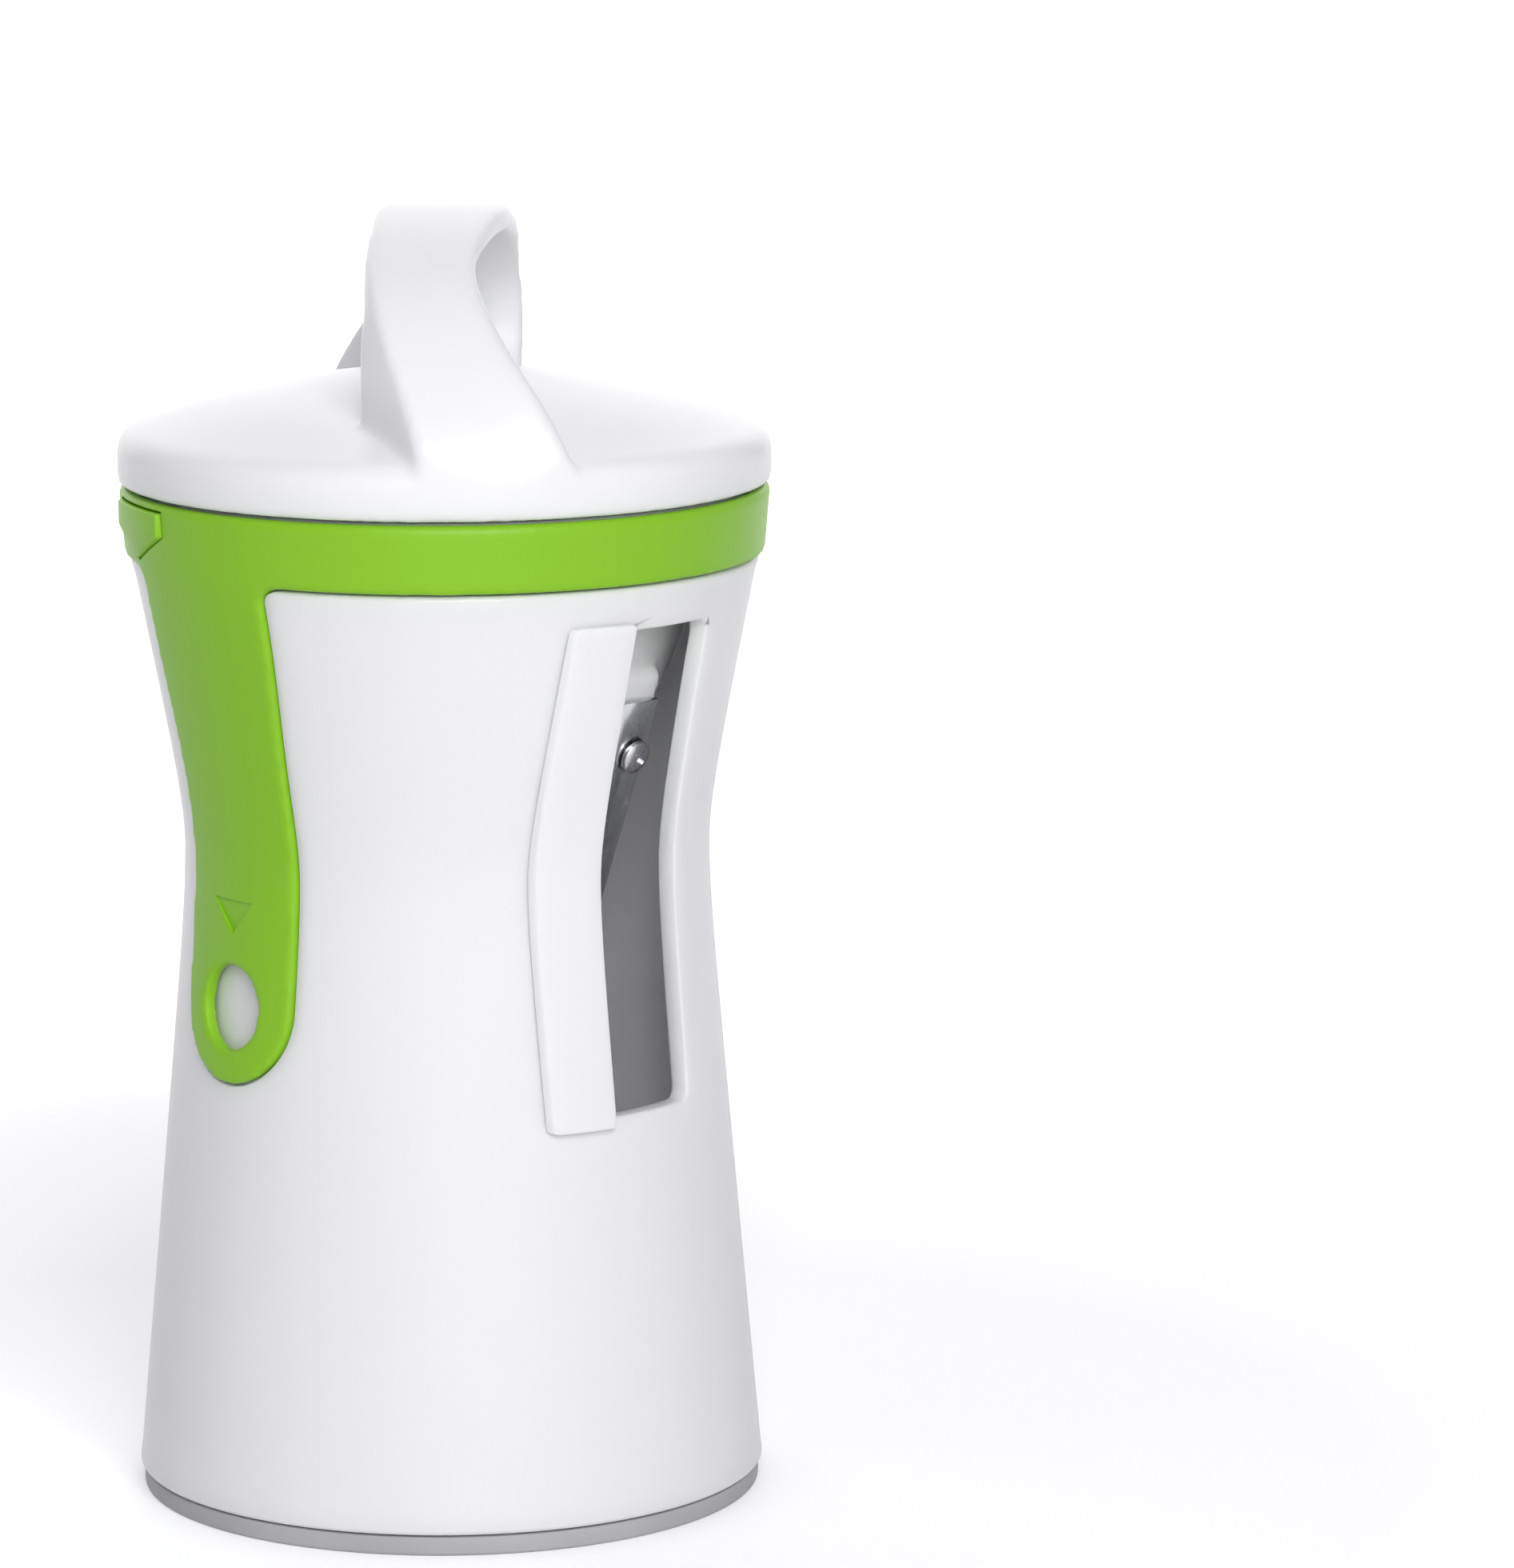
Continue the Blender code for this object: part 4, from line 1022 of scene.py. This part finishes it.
def makeSpikePlate():
    # its underside is dished between the edge and the hub that holds the spikes
    flangeTop = seat["bottom"] + seat["flangeHeight"]
    outer = plate["radius"] + seat["flangeWidth"]
    dish = seat["bottom"] + plate["dishDepth"]
    item = lathe("spikePlate", [
        (0.0, seat["top"]), (plate["radius"], seat["top"]), (plate["radius"], flangeTop),
        (outer, flangeTop), (outer, seat["bottom"]), (plate["radius"], seat["bottom"]),
        (plate["radius"] - plate["dishOuter"], dish), (spike["circle"] + plate["dishInner"], dish),
        (spike["circle"] + plate["hubMargin"], seat["bottom"]), (0.0, seat["bottom"])],
        closed=False)
    low = seat["bottom"] - past
    for spot in spikeSpots():
        carve(item, rod("spikeHole", spike["radius"] + gap, low, seat["top"] + past,
                        Matrix.Translation(spot), sides=32))
    for spot in bossSpots():
        place = Matrix.Translation(spot)
        carve(item, rod("screwHole", plateScrew["shankRadius"] + gap, low, seat["top"] + past,
                        place, sides=32))
        carve(item, rod("screwRecess", plateScrew["headRadius"] + gap, low,
                        seat["bottom"] + plateScrew["headHeight"] + gap, place))
    soften(item, plate["edgeRound"], sharperThan=40, segments=2)
    # the spike plate shares the step ring's grey, which is painted shade
    finishPiece(item, underCapShadeGrey, "cap", ["spike_plate"])


def makeSpike(name, length):
    foot = seat["top"] + gap
    shoulder = seat["bottom"] - length * spike["straightShare"]
    point = seat["bottom"] - length
    angles = evenSteps(0, 90, spike["pointSteps"])[:-1]
    taper = [(spike["radius"] * cos(radians(degrees)) ** spike["bulge"], height)
             for degrees, height in zip(angles, evenSteps(shoulder, point, spike["pointSteps"]))]
    top = foot + spike["headHeight"]
    return lathe(name, [
        (0.0, top), (spike["headRadius"] * spike["headTopShare"], top),
        (spike["headRadius"], foot + spike["headEdgeShare"] * spike["headHeight"]),
        (spike["headRadius"], foot), (spike["radius"], foot)] + taper + [(0.0, point)],
        turns=32, closed=False)


def makeSpikes():
    centre = makeSpike("centreSpike", spike["centreLength"])
    finishPiece(centre, bladeSteel, "cap", ["centre_spike"])
    first = makeSpike("spikePattern", spike["length"])
    for number, spot in enumerate(spikeSpots()[1:], start=1):
        item = copyOf(first, f"foodSpike{number}", Matrix.Translation(spot))
        finishPiece(item, bladeSteel, "cap", [f"food_spike_{number}"])
    bpy.data.objects.remove(first)


def makePlateScrews():
    first = makeScrew("plateScrewPattern", plateScrew)
    under = Vector((0, 0, seat["bottom"] + plateScrew["headHeight"]))
    for number, spot in enumerate(bossSpots(), start=1):
        place = (Matrix.Translation(spot + under) @ Matrix.Rotation(pi, 4, "X")
                 @ Matrix.Rotation(radians(plateScrew["turn"] * number), 4, "Z"))
        item = copyOf(first, f"plateScrew{number}", place)
        finishPiece(item, screwSteel, "cap", [f"plate_screw_{number}"])
    bpy.data.objects.remove(first)


makeBodyShell()
makeBladeGuard()
makeFootRing()
print("body, guard strip and foot ring made")
makeGripCollar()
print("collar made")
makeTurningCap()
print("cap made")
makeCuttingCone()
makeSlicingBlade()
makeJulienneComb()
makeBladeScrews()
print("cone, blade and comb made")
makeSeatRing()
makeSpikePlate()
makeSpikes()
makePlateScrews()
print("step ring, spike plate and spikes made")


# Studio

studio = {
    "floorSize": 6.0, "floorColour": (0.88, 0.88, 0.885), "floorRoughness": 0.7,
    "floorShine": 0.2, "floorGlow": 0.32, "shadowReach": 0.12, "fadeReach": 0.6,
    "worldLight": (0.12, 0.12, 0.145), "aimHeight": 0.08,
    "keyPower": 31.5, "keySize": 1.0, "keyPlace": (0.3, -1.85, 0.95),
    "fillPower": 0.8, "fillSize": 1.6, "fillPlace": (-1.6, -1.2, 0.9),
    "topPower": 4.0, "topSize": 1.3, "topPlace": (-0.4, -0.1, 1.9),
    "backPower": 26.0, "backSize": 2.75, "backPlace": (-0.2, 2.0, 0.9),
}


def seenDirectly(tree):
    # 1 for what the camera, a mirror or clear glass shows of the floor and the world
    path = tree.nodes.new("ShaderNodeLightPath")
    first = tree.nodes.new("ShaderNodeMath")
    first.operation = "MAXIMUM"
    both = tree.nodes.new("ShaderNodeMath")
    both.operation = "MAXIMUM"
    link(tree, path.outputs["Is Camera Ray"], first.inputs[0])
    link(tree, path.outputs["Is Glossy Ray"], first.inputs[1])
    link(tree, first.outputs[0], both.inputs[0])
    link(tree, path.outputs["Is Transmission Ray"], both.inputs[1])
    return both.outputs[0]


def makeFloor():
    bpy.ops.object.select_all(action="DESELECT")
    bpy.ops.mesh.primitive_plane_add(size=studio["floorSize"])
    floor = bpy.context.object
    floor.name = "floor"
    material, tree, shader = newMaterial("paleFloor")
    shader.inputs["Base Color"].default_value = (*studio["floorColour"], 1)
    shader.inputs["Roughness"].default_value = studio["floorRoughness"]
    shader.inputs["Specular IOR Level"].default_value = studio["floorShine"]
    shader.inputs["Emission Color"].default_value = (1, 1, 1, 1)
    place = tree.nodes.new("ShaderNodeTexCoord")
    reach = tree.nodes.new("ShaderNodeVectorMath")
    reach.operation = "LENGTH"
    fade = tree.nodes.new("ShaderNodeMapRange")
    fade.inputs["From Min"].default_value = studio["shadowReach"]
    fade.inputs["From Max"].default_value = studio["fadeReach"]
    fade.inputs["To Min"].default_value = studio["floorGlow"]
    glow = tree.nodes.new("ShaderNodeMath")
    glow.operation = "MULTIPLY"
    link(tree, place.outputs["Object"], reach.inputs[0])
    link(tree, reach.outputs["Value"], fade.inputs["Value"])
    link(tree, fade.outputs["Result"], glow.inputs[0])
    link(tree, seenDirectly(tree), glow.inputs[1])
    link(tree, glow.outputs[0], shader.inputs["Emission Strength"])
    floor.data.materials.append(material)


def makeWorld():
    world = bpy.data.worlds.new("studio")
    bpy.context.scene.world = world
    world.use_nodes = True
    tree = world.node_tree
    shown = tree.nodes.new("ShaderNodeMix")
    shown.data_type = "RGBA"
    shown.inputs["A"].default_value = (*studio["worldLight"], 1)
    shown.inputs["B"].default_value = (1, 1, 1, 1)
    link(tree, seenDirectly(tree), shown.inputs["Factor"])
    link(tree, shown.outputs["Result"], tree.nodes["Background"].inputs["Color"])


def makeLamp(name):
    lamp = bpy.data.lights.new(name, "AREA")
    lamp.energy = studio[name + "Power"]
    lamp.size = studio[name + "Size"]
    item = bpy.data.objects.new(name, lamp)
    bpy.context.scene.collection.objects.link(item)
    place = Vector(studio[name + "Place"])
    item.location = place
    aim = Vector((0, 0, studio["aimHeight"]))
    item.rotation_euler = (place - aim).to_track_quat("Z", "Y").to_euler()


camera = {
    "place": (0.0, -0.942, 0.2567), "tiltDown": 0.1750, "turnRight": 0.0418, "lens": 172.7,
    "sensor": 36.0,
}


def makeCamera():
    lens = bpy.data.cameras.new("camera")
    lens.lens = camera["lens"]
    lens.sensor_width = camera["sensor"]
    item = bpy.data.objects.new("camera", lens)
    bpy.context.scene.collection.objects.link(item)
    item.location = camera["place"]
    item.rotation_euler = (pi / 2 - camera["tiltDown"], 0.0, -camera["turnRight"])
    bpy.context.scene.camera = item


makeFloor()
makeWorld()
for lampName in ("key", "fill", "top", "back"):
    makeLamp(lampName)
makeCamera()
bpy.context.scene.view_settings.view_transform = "Standard"
print("studio made")
